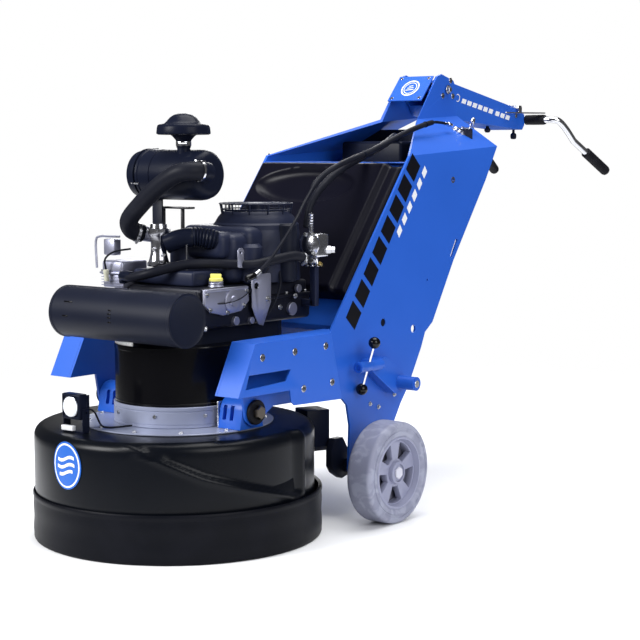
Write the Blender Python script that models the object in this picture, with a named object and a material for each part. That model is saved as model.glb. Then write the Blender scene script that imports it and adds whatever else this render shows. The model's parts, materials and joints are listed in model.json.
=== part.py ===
"""Gas-engined planetary concrete grinder, built as separate pieces in metres.

The head's axis is the line the design is laid out from: x runs across the
machine, -y is the front and +z is up. The last step slides everything along y
so that the world origin is under the middle of the whole machine.
"""

import math

import bmesh
import bpy
from mathutils import Matrix, Vector

# Clearances
GAP = 0.0004                # between pieces that are bolted or stacked together
RUN_GAP = 0.0006            # between a turning piece and what it turns in

# Grinding head
COVER_R = 0.413
COVER_WALL = 0.006
COVER_BOTTOM_Z = 0.060
COVER_TOP_Z = 0.336
COVER_FILLET = 0.030
COVER_HOLE_R = 0.150
SKIRT_R = 0.430
SKIRT_WALL = 0.012
SKIRT_HEIGHT = 0.142
BEAD_Z = 0.080
BEAD_HALF = 0.008
DECK_R = 0.285
DECK_T = 0.005
FLANGE_R = 0.190
FLANGE_H = 0.061
DRUM_R = 0.187
DRUM_WALL = 0.006
DRUM_H = 0.172

# Drive
SHAFT_R = 0.025
ROTOR_R = 0.370
ROTOR_T = 0.015
ROTOR_Z = 0.180
HEAD_COUNT = 3
HEAD_ORBIT_R = 0.215
HEAD_R = 0.180
HEAD_FLOOR_GAP = 0.005
SPINDLE_R = 0.022
BELT_T = 0.007
BELT_W = 0.018
DRIVEN_PULLEY_R = 0.110
DRIVE_PULLEY_R = 0.055
CASE_WALL = 0.005
CASE_MARGIN = 0.022
CASE_H = 0.050

# Engine
CRANK_X = 0.075
CRANK_Y = 0.275
CRANKCASE_X = (-0.120, 0.190)
CRANKCASE_Y = (-0.100, 0.400)
CRANKCASE_H = 0.119
BLOWER_R = 0.135
BLOWER_H = 0.210
BLOWER_WALL = 0.004
SCREEN_R = 0.095
SCREEN_H = 0.026
SCREEN_GAP = 0.002
MUFFLER_R = 0.0765
MUFFLER_X = (-0.222, 0.258)
MUFFLER_Y = -0.232
MUFFLER_Z = 0.670
MUFFLER_WALL = 0.002
CANISTER_R = 0.0745
CANISTER_X = (-0.152, 0.138)
CANISTER_Y = 0.005
CANISTER_Z = 1.068
CANISTER_WALL = 0.003
HOSE_R = 0.027
VAPOR_R = 0.0145

# Tilting frame
PANEL_X = 0.300             # outer face of a side panel
PANEL_T = 0.008
ARM_X = 0.380               # outer face of an arm cover
ARM_T = 0.005
PIVOT_Z = 0.391
PIVOT_R = 0.016
EAR_R = 0.042
LUG_INNER_GAP = 0.015       # between a lug and the bearing flange
LUG_OUTER_GAP = 0.0015      # between a lug and the panel beside it
LUG_X = (FLANGE_R + LUG_INNER_GAP, PANEL_X - PANEL_T - LUG_OUTER_GAP)
NECK_X = 0.080              # outer face of the plates that hold the handle
SHIELD_T = 0.040
SHEET_T = 0.004
FRONT_LOW = Vector((0.353, 0.587))     # front edge of a panel, as (y, z)
FRONT_HIGH = Vector((0.768, 1.121))
CYLINDER_R = 0.125
CYLINDER_L = 0.520
CYLINDER_WALL = 0.003

# Wheels
WHEEL_R = 0.157
RIM_R = 0.112
WHEEL_W = 0.090
WHEEL_Y = 0.4835
WHEEL_X = 0.381             # inner face of a tyre
AXLE_R = 0.012
AXLE_SLEEVE_R = 0.020
AXLE_OVERHANG = 0.055       # how far an axle reaches in past its panel's outer face
SPOKES = 5

# Handle
HANDLE_PIVOT = Vector((1.310, 1.352))  # (y, z)
HANDLE_HALF_W = 0.070
BAR_R = 0.0125
GRIP_R = 0.0195
GRIP_L = 0.150
BAR_Y = 1.866
BAR_Z = 1.2535

# Levels that follow from the stack of pieces
SKIRT_INNER_R = SKIRT_R - SKIRT_WALL
DECK_Z = COVER_TOP_Z + GAP
FLANGE_Z = DECK_Z + DECK_T + GAP
DRUM_Z = FLANGE_Z + FLANGE_H + GAP
CASE_Z = DRUM_Z + DRUM_H + GAP
ENGINE_Z = CASE_Z + CASE_H + GAP
BLOWER_Z = ENGINE_Z + CRANKCASE_H + GAP
BELT_Z = CASE_Z + 0.5 * CASE_H - 0.5 * BELT_W

# Colours: base colour, metallic, roughness
PAINTS = {
    "blue_paint": ((0.025, 0.115, 0.600), 0.0, 0.35),
    "black_paint": ((0.012, 0.013, 0.018), 0.0, 0.45),
    "black_plastic": ((0.010, 0.011, 0.014), 0.0, 0.40),
    "black_rubber": ((0.012, 0.012, 0.015), 0.0, 0.60),
    "aluminium": ((0.450, 0.460, 0.500), 1.0, 0.40),
    "steel": ((0.480, 0.490, 0.510), 1.0, 0.35),
    "chrome": ((0.750, 0.760, 0.780), 1.0, 0.12),
    "white_deck": ((0.700, 0.710, 0.740), 0.2, 0.35),
    "grey_tyre": ((0.330, 0.330, 0.390), 0.0, 0.65),
    "grey_hub": ((0.360, 0.360, 0.430), 0.0, 0.45),
    "yellow_plastic": ((0.800, 0.750, 0.200), 0.0, 0.45),
    "clear_lens": ((0.800, 0.830, 0.850), 0.0, 0.08),
    "cast_iron": ((0.120, 0.120, 0.125), 0.8, 0.55),
}


def clear_scene():
    for old in list(bpy.data.objects):
        bpy.data.objects.remove(old, do_unlink=True)


def make_material(node, paint):
    colour, metallic, roughness = PAINTS[paint]
    material = bpy.data.materials.new(node + "_" + paint)
    material.use_nodes = True
    shader = material.node_tree.nodes["Principled BSDF"]
    shader.inputs["Base Color"].default_value = (*colour, 1.0)
    shader.inputs["Metallic"].default_value = metallic
    shader.inputs["Roughness"].default_value = roughness
    material.diffuse_color = (*colour, 1.0)
    return material


def place_data(name, data, paint, origin=(0.0, 0.0, 0.0)):
    """Put finished data in the scene with its origin where the piece turns."""
    data.transform(Matrix.Translation(-Vector(origin)))
    piece = bpy.data.objects.new(name, data)
    piece.location = origin
    bpy.context.scene.collection.objects.link(piece)
    if paint:
        data.materials.append(make_material(name, paint))
    return piece


def finish(name, shape, paint, origin=(0.0, 0.0, 0.0), smooth=False):
    """Turn a bmesh into a named piece."""
    bmesh.ops.remove_doubles(shape, verts=shape.verts, dist=1e-6)
    bmesh.ops.recalc_face_normals(shape, faces=shape.faces)
    mesh = bpy.data.meshes.new(name)
    shape.to_mesh(mesh)
    shape.free()
    if smooth:
        mesh.shade_smooth()
        mesh.set_sharp_from_angle(angle=math.radians(35.0))
    return place_data(name, mesh, paint, origin)


def turn_profile(profile, segments, closed):
    """Revolve (radius, height) points about z; closed joins the last to the first."""
    shape = bmesh.new()
    rings = []
    for radius, height in profile:
        if radius < 1e-9:
            rings.append([shape.verts.new((0.0, 0.0, height))])
            continue
        ring = []
        for step in range(segments):
            angle = math.tau * step / segments
            place = (radius * math.cos(angle), radius * math.sin(angle), height)
            ring.append(shape.verts.new(place))
        rings.append(ring)
    pairs = list(zip(rings, rings[1:]))
    if closed:
        pairs.append((rings[-1], rings[0]))
    for low, high in pairs:
        join_rings(shape, low, high, segments)
    return shape


def join_rings(shape, low, high, segments):
    for step in range(segments):
        after = (step + 1) % segments
        if len(low) == 1 and len(high) == 1:
            return
        if len(low) == 1:
            shape.faces.new((low[0], high[after], high[step]))
        elif len(high) == 1:
            shape.faces.new((low[step], low[after], high[0]))
        else:
            shape.faces.new((low[step], low[after], high[after], high[step]))


def along_x():
    """Matrix that lays a z axis along +x."""
    return Matrix.Rotation(math.radians(90.0), 4, "Y")


def axis_matrix(start, end):
    """Matrix that lays +z along start to end, with its origin at start."""
    direction = Vector(end) - Vector(start)
    turn = Vector((0.0, 0.0, 1.0)).rotation_difference(direction)
    return Matrix.Translation(start) @ turn.to_matrix().to_4x4()


def turned(name, profile, paint, segments=32, closed=False, matrix=None, origin=(0, 0, 0)):
    shape = turn_profile(profile, segments, closed)
    if matrix is not None:
        bmesh.ops.transform(shape, matrix=matrix, verts=shape.verts)
    return finish(name, shape, paint, origin, smooth=True)


def arc(centre, radius, start, end, steps):
    """Points on a circle from start to end, both in degrees and both included."""
    points = []
    for step in range(steps + 1):
        angle = math.radians(start + (end - start) * step / steps)
        x = centre[0] + radius * math.cos(angle)
        y = centre[1] + radius * math.sin(angle)
        points.append((x, y))
    return points


def circle(centre, radius, steps):
    return arc(centre, radius, 0.0, 360.0, steps)[:-1]


def flat_fill(loops):
    """A flat face in the xy plane from an outline and its holes."""
    shape = bmesh.new()
    edges = []
    for loop in loops:
        verts = [shape.verts.new((x, y, 0.0)) for x, y in loop]
        for here, after in zip(verts, verts[1:] + verts[:1]):
            edges.append(shape.edges.new((here, after)))
    bmesh.ops.triangle_fill(shape, edges=edges, use_beauty=True)
    return shape


def plate_shape(loops, low, high):
    """A flat plate from z = low to z = high."""
    shape = flat_fill(loops)
    bmesh.ops.translate(shape, vec=(0.0, 0.0, low), verts=shape.verts)
    result = bmesh.ops.extrude_face_region(shape, geom=shape.faces[:])
    moved = [item for item in result["geom"] if isinstance(item, bmesh.types.BMVert)]
    bmesh.ops.translate(shape, vec=(0.0, 0.0, high - low), verts=moved)
    return shape


def yz_matrix():
    """Matrix that takes a plate drawn as (y, z) into the plane across x."""
    return Matrix(((0, 0, 1, 0), (1, 0, 0, 0), (0, 1, 0, 0), (0, 0, 0, 1)))


def side_plate(name, loops, low, high, paint, origin=(0, 0, 0)):
    """A plate with its outline in the yz plane, from x = low to x = high."""
    shape = plate_shape(loops, low, high)
    bmesh.ops.transform(shape, matrix=yz_matrix(), verts=shape.verts)
    return finish(name, shape, paint, origin)


def mirrored(shape):
    """The same shape on the other side of the machine."""
    bmesh.ops.scale(shape, vec=(-1.0, 1.0, 1.0), verts=shape.verts)
    return shape


def block_shape(low, high, bevel=0.0, segments=2):
    shape = bmesh.new()
    size = Vector(high) - Vector(low)
    middle = (Vector(high) + Vector(low)) * 0.5
    matrix = Matrix.Translation(middle) @ Matrix.Diagonal((*size, 1.0))
    bmesh.ops.create_cube(shape, size=1.0, matrix=matrix)
    if bevel > 0.0:
        bmesh.ops.bevel(shape, geom=shape.edges[:], offset=bevel, segments=segments,
                        profile=0.5, affect="EDGES")
    return shape


def rod_shape(start, end, radius, segments=20):
    length = (Vector(end) - Vector(start)).length
    profile = [(0.0, 0.0), (radius, 0.0), (radius, length), (0.0, length)]
    shape = turn_profile(profile, segments, False)
    bmesh.ops.transform(shape, matrix=axis_matrix(start, end), verts=shape.verts)
    return shape


def add_solid(piece, shape, operation="UNION"):
    """Join a closed shape to a piece, or cut it out, with a hidden helper object."""
    helper_name = piece.name + "_tool_" + str(len(piece.modifiers))
    helper = finish(helper_name, shape, None)
    helper.location = (0.0, 0.0, 0.0)
    helper.hide_render = True
    helper.display_type = "WIRE"
    step = piece.modifiers.new(helper_name, "BOOLEAN")
    step.operation = operation
    step.solver = "EXACT"
    step.object = helper


def tube(name, points, radius, paint, origin=(0, 0, 0), sides=2):
    """A hose or bar: a round tube along points, with filled ends."""
    data = bpy.data.curves.new(name, "CURVE")
    data.dimensions = "3D"
    data.bevel_depth = radius
    data.bevel_resolution = sides
    data.use_fill_caps = True
    data.resolution_u = 1
    data.render_resolution_u = 0
    spline = data.splines.new("POLY")
    spline.points.add(len(points) - 1)
    for point, place in zip(spline.points, points):
        point.co = (*place, 1.0)
    return place_data(name, data, paint, origin)


def smooth_route(points, steps):
    """Points on a smooth curve through a few chosen ones."""
    places = [Vector(point) for point in points]
    places = [2 * places[0] - places[1]] + places + [2 * places[-1] - places[-2]]
    route = []
    for index in range(1, len(places) - 2):
        before, start, end, after = places[index - 1:index + 3]
        for step in range(steps):
            t = step / steps
            route.append(0.5 * (2 * start + (end - before) * t
                                + (2 * before - 5 * start + 4 * end - after) * t * t
                                + (3 * start - before - 3 * end + after) * t ** 3))
    route.append(places[-2])
    return route


# ---------------------------------------------------------------- head

def build_cover():
    wall = COVER_WALL
    inner_r = COVER_R - wall
    bead_r = SKIRT_INNER_R - GAP
    fillet_z = COVER_TOP_Z - COVER_FILLET
    fillet_r = COVER_R - COVER_FILLET
    profile = [(inner_r, COVER_BOTTOM_Z), (COVER_R, COVER_BOTTOM_Z),
               (COVER_R, BEAD_Z - BEAD_HALF - 0.002), (bead_r, BEAD_Z - BEAD_HALF),
               (bead_r, BEAD_Z + BEAD_HALF), (COVER_R, BEAD_Z + BEAD_HALF + 0.002)]
    profile += arc((fillet_r, fillet_z), COVER_FILLET, 0.0, 90.0, 3)
    profile += [(COVER_HOLE_R, COVER_TOP_Z), (COVER_HOLE_R, COVER_TOP_Z - wall)]
    profile += arc((fillet_r, fillet_z), COVER_FILLET - wall, 90.0, 0.0, 2)
    turned("shroud_cover", profile, "black_plastic", segments=40, closed=True)


def build_skirt():
    lip = 0.002
    profile = [(SKIRT_INNER_R, 0.0), (SKIRT_R, 0.0), (SKIRT_R, SKIRT_HEIGHT - 0.014),
               (SKIRT_R + lip, SKIRT_HEIGHT - 0.008), (SKIRT_R + lip, SKIRT_HEIGHT - 0.002),
               (SKIRT_R, SKIRT_HEIGHT), (SKIRT_INNER_R, SKIRT_HEIGHT)]
    turned("skirt_ring", profile, "black_rubber", segments=40, closed=True)


def ring_profile(inner, outer, low, high):
    return [(inner, low), (outer, low), (outer, high), (inner, high)]


def build_deck_stack():
    profile = ring_profile(COVER_HOLE_R, DECK_R, DECK_Z, DECK_Z + DECK_T)
    turned("deck_plate", profile, "white_deck", segments=40, closed=True)
    profile = ring_profile(SHAFT_R + RUN_GAP, FLANGE_R, FLANGE_Z, FLANGE_Z + FLANGE_H)
    turned("bearing_flange", profile, "aluminium", segments=32, closed=True)
    bore = SHAFT_R + RUN_GAP
    top = DRUM_Z + DRUM_H
    inner = DRUM_R - DRUM_WALL
    profile = [(inner, DRUM_Z), (DRUM_R, DRUM_Z), (DRUM_R, top - 0.003),
               (DRUM_R - 0.003, top), (bore, top), (bore, top - DRUM_WALL),
               (inner, top - DRUM_WALL)]
    turned("drum_housing", profile, "black_paint", segments=32, closed=True)


def build_dust_port():
    """A square duct on the back of the cover, with a round bore."""
    direction = math.radians(66.0)
    half_w, half_h, bore = 0.042, 0.040, 0.032
    outline = [(-half_w, -half_h), (half_w, -half_h), (half_w, half_h), (-half_w, half_h)]
    shape = plate_shape([outline, circle((0, 0), bore, 20)], 0.0, 0.070)
    start = Vector((math.cos(direction), math.sin(direction), 0.0)) * (COVER_R + GAP)
    start.z = 0.246
    side = Vector((-math.sin(direction), math.cos(direction), 0.0))
    out = Vector((math.cos(direction), math.sin(direction), 0.0))
    turn = Matrix((side, Vector((0, 0, 1)), out)).transposed().to_4x4()
    bmesh.ops.transform(shape, matrix=Matrix.Translation(start) @ turn, verts=shape.verts)
    finish("dust_port", shape, "black_plastic")


def build_lugs():
    """The head's two ears, each with the stud that the frame turns on."""
    base_z = DECK_Z + DECK_T + GAP
    outline = [(-EAR_R - 0.010, base_z), (EAR_R + 0.010, base_z)]
    outline += arc((0.0, PIVOT_Z), EAR_R, 0.0, 180.0, 10)
    for side, name in ((1, "pivot_lug_near"), (-1, "pivot_lug_far")):
        shape = plate_shape([outline], LUG_X[0], LUG_X[1])
        bmesh.ops.transform(shape, matrix=yz_matrix(), verts=shape.verts)
        stud_start = (0.5 * (LUG_X[0] + LUG_X[1]), 0.0, PIVOT_Z)
        stud = rod_shape(stud_start, (PANEL_X + 0.014, 0.0, PIVOT_Z), PIVOT_R)
        if side < 0:
            mirrored(shape)
            mirrored(stud)
        add_solid(finish(name, shape, "blue_paint"), stud)


LIGHT_AT = Vector((-0.088, -0.330, 0.412))
LIGHT_HALF = Vector((0.037, 0.023, 0.037))
LIGHT_AXIS_Z = 0.395
LIGHT_PIN_R = 0.004


def build_work_light():
    """A square lamp that tilts between the two arms of its bracket."""
    pivot = (LIGHT_AT.x, LIGHT_AT.y, LIGHT_AXIS_Z)
    shape = block_shape(LIGHT_AT - LIGHT_HALF, LIGHT_AT + LIGHT_HALF, 0.004, 1)
    housing = finish("work_light_housing", shape, "black_plastic", pivot)
    front_y = LIGHT_AT.y - LIGHT_HALF.y - GAP
    profile = [(0.0, 0.0), (0.028, 0.0), (0.028, 0.003), (0.020, 0.006), (0.0, 0.007)]
    start = (LIGHT_AT.x, front_y, LIGHT_AT.z)
    end = (LIGHT_AT.x, front_y - 1.0, LIGHT_AT.z)
    turned("work_light_lens", profile, "clear_lens", 24, False,
           axis_matrix(start, end), pivot)
    inner = LIGHT_HALF.x + RUN_GAP
    outer = inner + 0.003
    base = DECK_Z
    top = LIGHT_AXIS_Z + 0.012
    outline = [(-outer, base), (outer, base), (outer, top), (inner, top),
               (inner, base + 0.004), (-inner, base + 0.004), (-inner, top), (-outer, top)]
    shape = plate_shape([outline], -0.013, 0.013)
    turn = Matrix(((1, 0, 0, LIGHT_AT.x), (0, 0, -1, LIGHT_AT.y), (0, 1, 0, 0), (0, 0, 0, 1)))
    bmesh.ops.transform(shape, matrix=turn, verts=shape.verts)
    bracket = finish("work_light_bracket", shape, "black_paint")
    ends = [Vector((LIGHT_AT.x + x, LIGHT_AT.y, LIGHT_AXIS_Z)) for x in (-outer, outer)]
    add_solid(housing, rod_shape(*ends, LIGHT_PIN_R, 12))
    sunk = Vector((GAP, 0.0, 0.0))
    add_solid(bracket, rod_shape(ends[0] - sunk, ends[1] + sunk, LIGHT_PIN_R + GAP, 12),
              "DIFFERENCE")


# ---------------------------------------------------------------- drive

def build_rotor():
    holes = []
    for index in range(HEAD_COUNT):
        angle = math.tau * index / HEAD_COUNT + math.radians(90.0)
        place = (HEAD_ORBIT_R * math.cos(angle), HEAD_ORBIT_R * math.sin(angle))
        holes.append(circle(place, SPINDLE_R + RUN_GAP, 16))
    loops = [circle((0, 0), ROTOR_R, 40), circle((0, 0), SHAFT_R + GAP, 20)] + holes
    shape = plate_shape(loops, ROTOR_Z, ROTOR_Z + ROTOR_T)
    finish("rotor_plate", shape, "cast_iron")
    top = BELT_Z + BELT_W + 0.004
    groove = DRIVEN_PULLEY_R - BELT_T - RUN_GAP
    profile = [(0.0, ROTOR_Z - 0.020), (0.045, ROTOR_Z - 0.020), (0.045, ROTOR_Z - GAP),
               (SHAFT_R, ROTOR_Z - GAP), (SHAFT_R, BELT_Z - 0.003),
               (DRIVEN_PULLEY_R, BELT_Z - 0.003), (DRIVEN_PULLEY_R, BELT_Z - 0.0005),
               (groove, BELT_Z - 0.0005), (groove, BELT_Z + BELT_W + 0.0005),
               (DRIVEN_PULLEY_R, BELT_Z + BELT_W + 0.0005), (DRIVEN_PULLEY_R, top), (0.0, top)]
    turned("output_shaft", profile, "steel", 24)


def build_grinding_heads():
    """Three satellite discs that hang from the rotor on their spindles."""
    low = HEAD_FLOOR_GAP
    profile = [(0.0, low + 0.007), (HEAD_R - 0.045, low + 0.007), (HEAD_R - 0.045, low),
               (HEAD_R, low), (HEAD_R, low + 0.024), (0.060, low + 0.030),
               (0.050, ROTOR_Z - RUN_GAP), (SPINDLE_R, ROTOR_Z - RUN_GAP),
               (SPINDLE_R, ROTOR_Z + ROTOR_T + 0.018), (0.0, ROTOR_Z + ROTOR_T + 0.018)]
    for index in range(HEAD_COUNT):
        angle = math.tau * index / HEAD_COUNT + math.radians(90.0)
        place = Vector((HEAD_ORBIT_R * math.cos(angle), HEAD_ORBIT_R * math.sin(angle), 0.0))
        turned("grinding_head_" + "abc"[index], profile, "steel", 24, False,
               Matrix.Translation(place), place)


def belt_loop(extra, steps):
    """Outline around both pulleys, extra outside their rims."""
    crank = Vector((CRANK_X, CRANK_Y))
    big = DRIVEN_PULLEY_R + extra
    small = DRIVE_PULLEY_R + extra
    heading = math.degrees(math.atan2(crank.y, crank.x))
    lean = math.degrees(math.acos((big - small) / crank.length))
    loop = arc((0.0, 0.0), big, heading + lean, heading + 360.0 - lean, 2 * steps)
    loop += arc(crank, small, heading - lean, heading + lean, steps)
    return loop


def build_belt_drive():
    crank = Vector((CRANK_X, CRANK_Y, 0.0))
    shape = plate_shape([belt_loop(0.0, 10), belt_loop(-BELT_T, 10)], BELT_Z, BELT_Z + BELT_W)
    finish("drive_belt", shape, "black_rubber")
    groove = DRIVE_PULLEY_R - BELT_T - RUN_GAP
    low, high = BELT_Z - 0.003, BELT_Z + BELT_W + 0.0005
    shaft_r = 0.014
    top = CASE_Z + CASE_H - GAP
    profile = [(0.0, low), (DRIVE_PULLEY_R, low), (DRIVE_PULLEY_R, BELT_Z - 0.0005),
               (groove, BELT_Z - 0.0005), (groove, high), (DRIVE_PULLEY_R, high),
               (DRIVE_PULLEY_R, high + 0.003), (shaft_r, high + 0.003), (shaft_r, top),
               (0.0, top)]
    turned("crank_pulley", profile, "steel", 20, False, Matrix.Translation(crank), crank)
    build_belt_case(shaft_r)


def build_belt_case(shaft_r):
    """An upside-down tray: the engine stands on its top, and its foot is on the drum."""
    outer = belt_loop(CASE_MARGIN, 10)
    inner = belt_loop(CASE_MARGIN - CASE_WALL, 10)
    top = CASE_Z + CASE_H
    roof = top - CASE_WALL
    shape = plate_shape([outer], CASE_Z, top)
    case = finish("belt_case", shape, "black_paint")
    add_solid(case, plate_shape([inner], CASE_Z - 0.010, roof), "DIFFERENCE")
    hole = circle((CRANK_X, CRANK_Y), shaft_r + RUN_GAP, 16)
    add_solid(case, plate_shape([hole], roof - 0.010, top + 0.010), "DIFFERENCE")


# ---------------------------------------------------------------- engine

def build_crankcase():
    low = (CRANKCASE_X[0], CRANKCASE_Y[0], ENGINE_Z)
    high = (CRANKCASE_X[1], CRANKCASE_Y[1], ENGINE_Z + CRANKCASE_H)
    finish("crankcase", block_shape(low, high, 0.010, 2), "aluminium")


def build_cylinders():
    """Two cylinders of the V engine, with their heads, on the left of the crankcase."""
    low_z = ENGINE_Z + 0.020
    for name, middle_y in (("cylinder_front", -0.050), ("cylinder_rear", 0.300)):
        low = (-0.215, middle_y - 0.060, low_z + 0.085)
        high = (CRANKCASE_X[0] - GAP, middle_y + 0.060, low_z + 0.235)
        shape = block_shape(low, high, 0.008, 1)
        piece = finish(name, shape, "aluminium")
        low = (-0.190, middle_y - 0.045, low_z)
        high = (CRANKCASE_X[0] - GAP, middle_y + 0.045, low_z + 0.100)
        add_solid(piece, block_shape(low, high))


def build_blower():
    low = BLOWER_Z
    high = low + BLOWER_H
    wall = BLOWER_WALL
    round_r = 0.035
    corner = (BLOWER_R - round_r, high - round_r)
    mouth = SCREEN_R + SCREEN_GAP
    profile = [(BLOWER_R - wall, low), (BLOWER_R, low)]
    profile += arc(corner, round_r, 0.0, 90.0, 3)
    profile += [(mouth, high), (mouth, high - wall)]
    profile += arc(corner, round_r - wall, 90.0, 0.0, 2)
    crank = Vector((CRANK_X, CRANK_Y, 0.0))
    turned("blower_housing", profile, "black_plastic", 24, True, Matrix.Translation(crank))
    profile = [(0.0, high - 0.014), (SCREEN_R, high - 0.014), (SCREEN_R, high + SCREEN_H - 0.006),
               (SCREEN_R - 0.006, high + SCREEN_H), (0.0, high + SCREEN_H)]
    turned("flywheel_screen", profile, "black_plastic", 24, False,
           Matrix.Translation(crank), crank)


def build_muffler():
    """A closed can along x with its welded bracket; its inlet is in the far end."""
    left, right = MUFFLER_X
    wall, edge = MUFFLER_WALL, 0.003
    inlet_r = 0.018
    profile = [(0.0, right - wall), (MUFFLER_R - wall, right - wall),
               (MUFFLER_R - wall, left + wall), (inlet_r, left + wall), (inlet_r, left),
               (MUFFLER_R - edge, left), (MUFFLER_R, left + edge), (MUFFLER_R, right - edge),
               (MUFFLER_R - edge, right), (0.0, right)]
    matrix = Matrix.Translation((0.0, MUFFLER_Y, MUFFLER_Z)) @ along_x()
    piece = turned("muffler", profile, "black_paint", 24, False, matrix)
    back = MUFFLER_Y + MUFFLER_R - 0.5 * wall
    low = (-0.060, back, MUFFLER_Z - 0.015)
    high = (0.100, CRANKCASE_Y[0] - GAP, MUFFLER_Z + 0.015)
    add_solid(piece, block_shape(low, high))


def build_air_cleaner():
    """The filter can, with the strap that stands it on the crankcase."""
    left, right = CANISTER_X
    wall = CANISTER_WALL
    band_x = left + 0.050
    bore = HOSE_R + GAP
    profile = [(0.0, left + wall), (CANISTER_R - wall - 0.006, left + wall + 0.006),
               (CANISTER_R - wall, band_x), (CANISTER_R - wall, right - 0.020),
               (bore, right - wall), (bore, right), (CANISTER_R - 0.016, right),
               (CANISTER_R, right - 0.016), (CANISTER_R, band_x + 0.006),
               (CANISTER_R + 0.003, band_x + 0.003), (CANISTER_R + 0.003, band_x - 0.003),
               (CANISTER_R, band_x - 0.006), (CANISTER_R - 0.004, left + 0.012),
               (CANISTER_R - 0.016, left), (0.0, left)]
    matrix = Matrix.Translation((0.0, CANISTER_Y, CANISTER_Z)) @ along_x()
    piece = turned("air_cleaner", profile, "black_plastic", 22, False, matrix)
    low = (CANISTER_X[0] + 0.052, CANISTER_Y - 0.003, BLOWER_Z)
    high = (CANISTER_X[0] + 0.092, CANISTER_Y + 0.003, CANISTER_Z - CANISTER_R + 0.002)
    add_solid(piece, block_shape(low, high))


RAIN_CAP_AT = (0.050, -0.019)


def build_rain_cap():
    """Mushroom cap on its short pipe, which stands on top of the air cleaner."""
    base = CANISTER_Z + CANISTER_R + 0.004
    profile = [(0.0, base), (0.0215, base), (0.0215, 1.160), (0.028, 1.170), (0.038, 1.182),
               (0.072, 1.184), (0.079, 1.187), (0.076, 1.212), (0.052, 1.219),
               (0.036, 1.238), (0.015, 1.246), (0.0, 1.247)]
    matrix = Matrix.Translation((*RAIN_CAP_AT, 0.0))
    turned("rain_cap", profile, "black_plastic", 20, False, matrix)


HOSE_START_X = CANISTER_X[1] + GAP
HOSE_ROUTE = [(HOSE_START_X, CANISTER_Y, CANISTER_Z), (0.154, 0.000, 1.069),
              (0.182, -0.040, 1.078), (0.165, -0.095, 1.078), (0.112, -0.112, 1.068),
              (0.035, -0.112, 1.030), (-0.040, -0.110, 0.980), (-0.092, -0.104, 0.935),
              (-0.103, -0.082, 0.905), (-0.092, -0.050, 0.894)]
VAPOR_ROUTE = [(-0.095, -0.120, 0.772), (-0.055, -0.128, 0.770), (0.010, -0.118, 0.785),
               (0.078, -0.046, 0.808), (0.140, 0.046, 0.808), (0.205, 0.105, 0.805),
               (0.232, 0.180, 0.818), (0.248, 0.250, 0.826), (0.252, 0.300, 0.812)]


def build_hoses():
    tube("intake_hose", smooth_route(HOSE_ROUTE, 2), HOSE_R, "black_rubber", sides=3)
    tube("vapor_hose", smooth_route(VAPOR_ROUTE, 2), VAPOR_R, "black_rubber", sides=2)


def build_fuel_parts():
    """The gas mixer on the intake and the pressure regulator behind the engine."""
    profile = [(0.0, 0.800), (0.034, 0.800), (0.034, 0.838), (0.026, 0.846), (0.026, 0.900),
               (0.022, 0.925), (0.0, 0.925)]
    turned("gas_mixer", profile, "chrome", 24, False, Matrix.Translation((-0.020, -0.055, 0.0)))
    middle = Vector((0.246, 0.352, 0.852))
    half = Vector((0.030, 0.030, 0.036))
    piece = finish("regulator", block_shape(middle - half, middle + half, 0.006, 1), "aluminium")
    riser = middle + Vector((-0.012, 0.0, 0.0))
    add_solid(piece, rod_shape(riser, riser + Vector((0.0, 0.0, 0.098)), 0.009, 12))
    outlet = middle + Vector((0.0, 0.012, -0.014))
    add_solid(piece, rod_shape(outlet, outlet + Vector((0.0, 0.052, 0.0)), 0.012, 12))
    post = Vector((CRANKCASE_X[1] + 0.045, middle.y + 0.008, ENGINE_Z + 0.040))
    add_solid(piece, block_shape(post - Vector((0.010, 0.010, 0.0)),
                                 post + Vector((0.010, 0.010, 0.180))))
    foot_low = (CRANKCASE_X[1] + GAP, post.y - 0.010, post.z)
    foot_high = (post.x, post.y + 0.010, post.z + 0.020)
    add_solid(piece, block_shape(foot_low, foot_high))


OIL_AT = Vector((0.160, -0.005))


def build_oil_filler():
    low = ENGINE_Z + CRANKCASE_H + GAP
    high = low + 0.016
    profile = [(0.0, low), (0.022, low), (0.022, high), (0.0, high)]
    place = Matrix.Translation((*OIL_AT, 0.0))
    turned("oil_filler_neck", profile, "aluminium", 24, False, place)
    cap = high + GAP
    profile = [(0.0, cap), (0.020, cap), (0.020, cap + 0.009), (0.007, cap + 0.011),
               (0.007, cap + 0.024), (0.0, cap + 0.024)]
    turned("oil_cap", profile, "yellow_plastic", 20, False, place, (*OIL_AT, 0.0))


# ---------------------------------------------------------------- frame

def front_line(distance, behind):
    """A point on the line of the panels' front edge, set back behind it."""
    along = (FRONT_HIGH - FRONT_LOW).normalized()
    back = Vector((along.y, -along.x))
    return FRONT_LOW + along * distance + back * behind


PANEL_OUTLINE_REAR = [(1.294, 1.153), (1.222, 1.038), (1.028, 0.774), (0.906, 0.576),
                      (0.863, 0.546), (0.841, 0.498), (0.771, 0.381), (0.727, 0.328),
                      (0.660, 0.225)]
ARM_FRONT_LOW = (-0.161, 0.456)
ARM_FRONT_TOP = (-0.087, 0.602)
ARM_TOP_REAR = (0.257, 0.602)
ARM_UNDER = [(0.065, 0.453), (0.070, 0.420), (0.085, 0.407)]
ARM_REAR_LOW = (0.309, 0.399)
ARM_SLOT = [(-0.115, 0.515), (0.068, 0.514), (0.046, 0.482), (-0.129, 0.476)]
ARM_BOLTS = [(-0.057, 0.560), (0.087, 0.563), (0.231, 0.566), (0.127, 0.451), (0.262, 0.455)]
PANEL_HOLES = [((1.019, 1.041), 0.008), ((0.629, 0.597), 0.013), ((0.795, 0.563), 0.013),
               ((0.874, 0.717), 0.004)]
SHOULDER_FRONT = (1.129, 1.246)
SHOULDER_REAR_Y = 1.373
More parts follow.
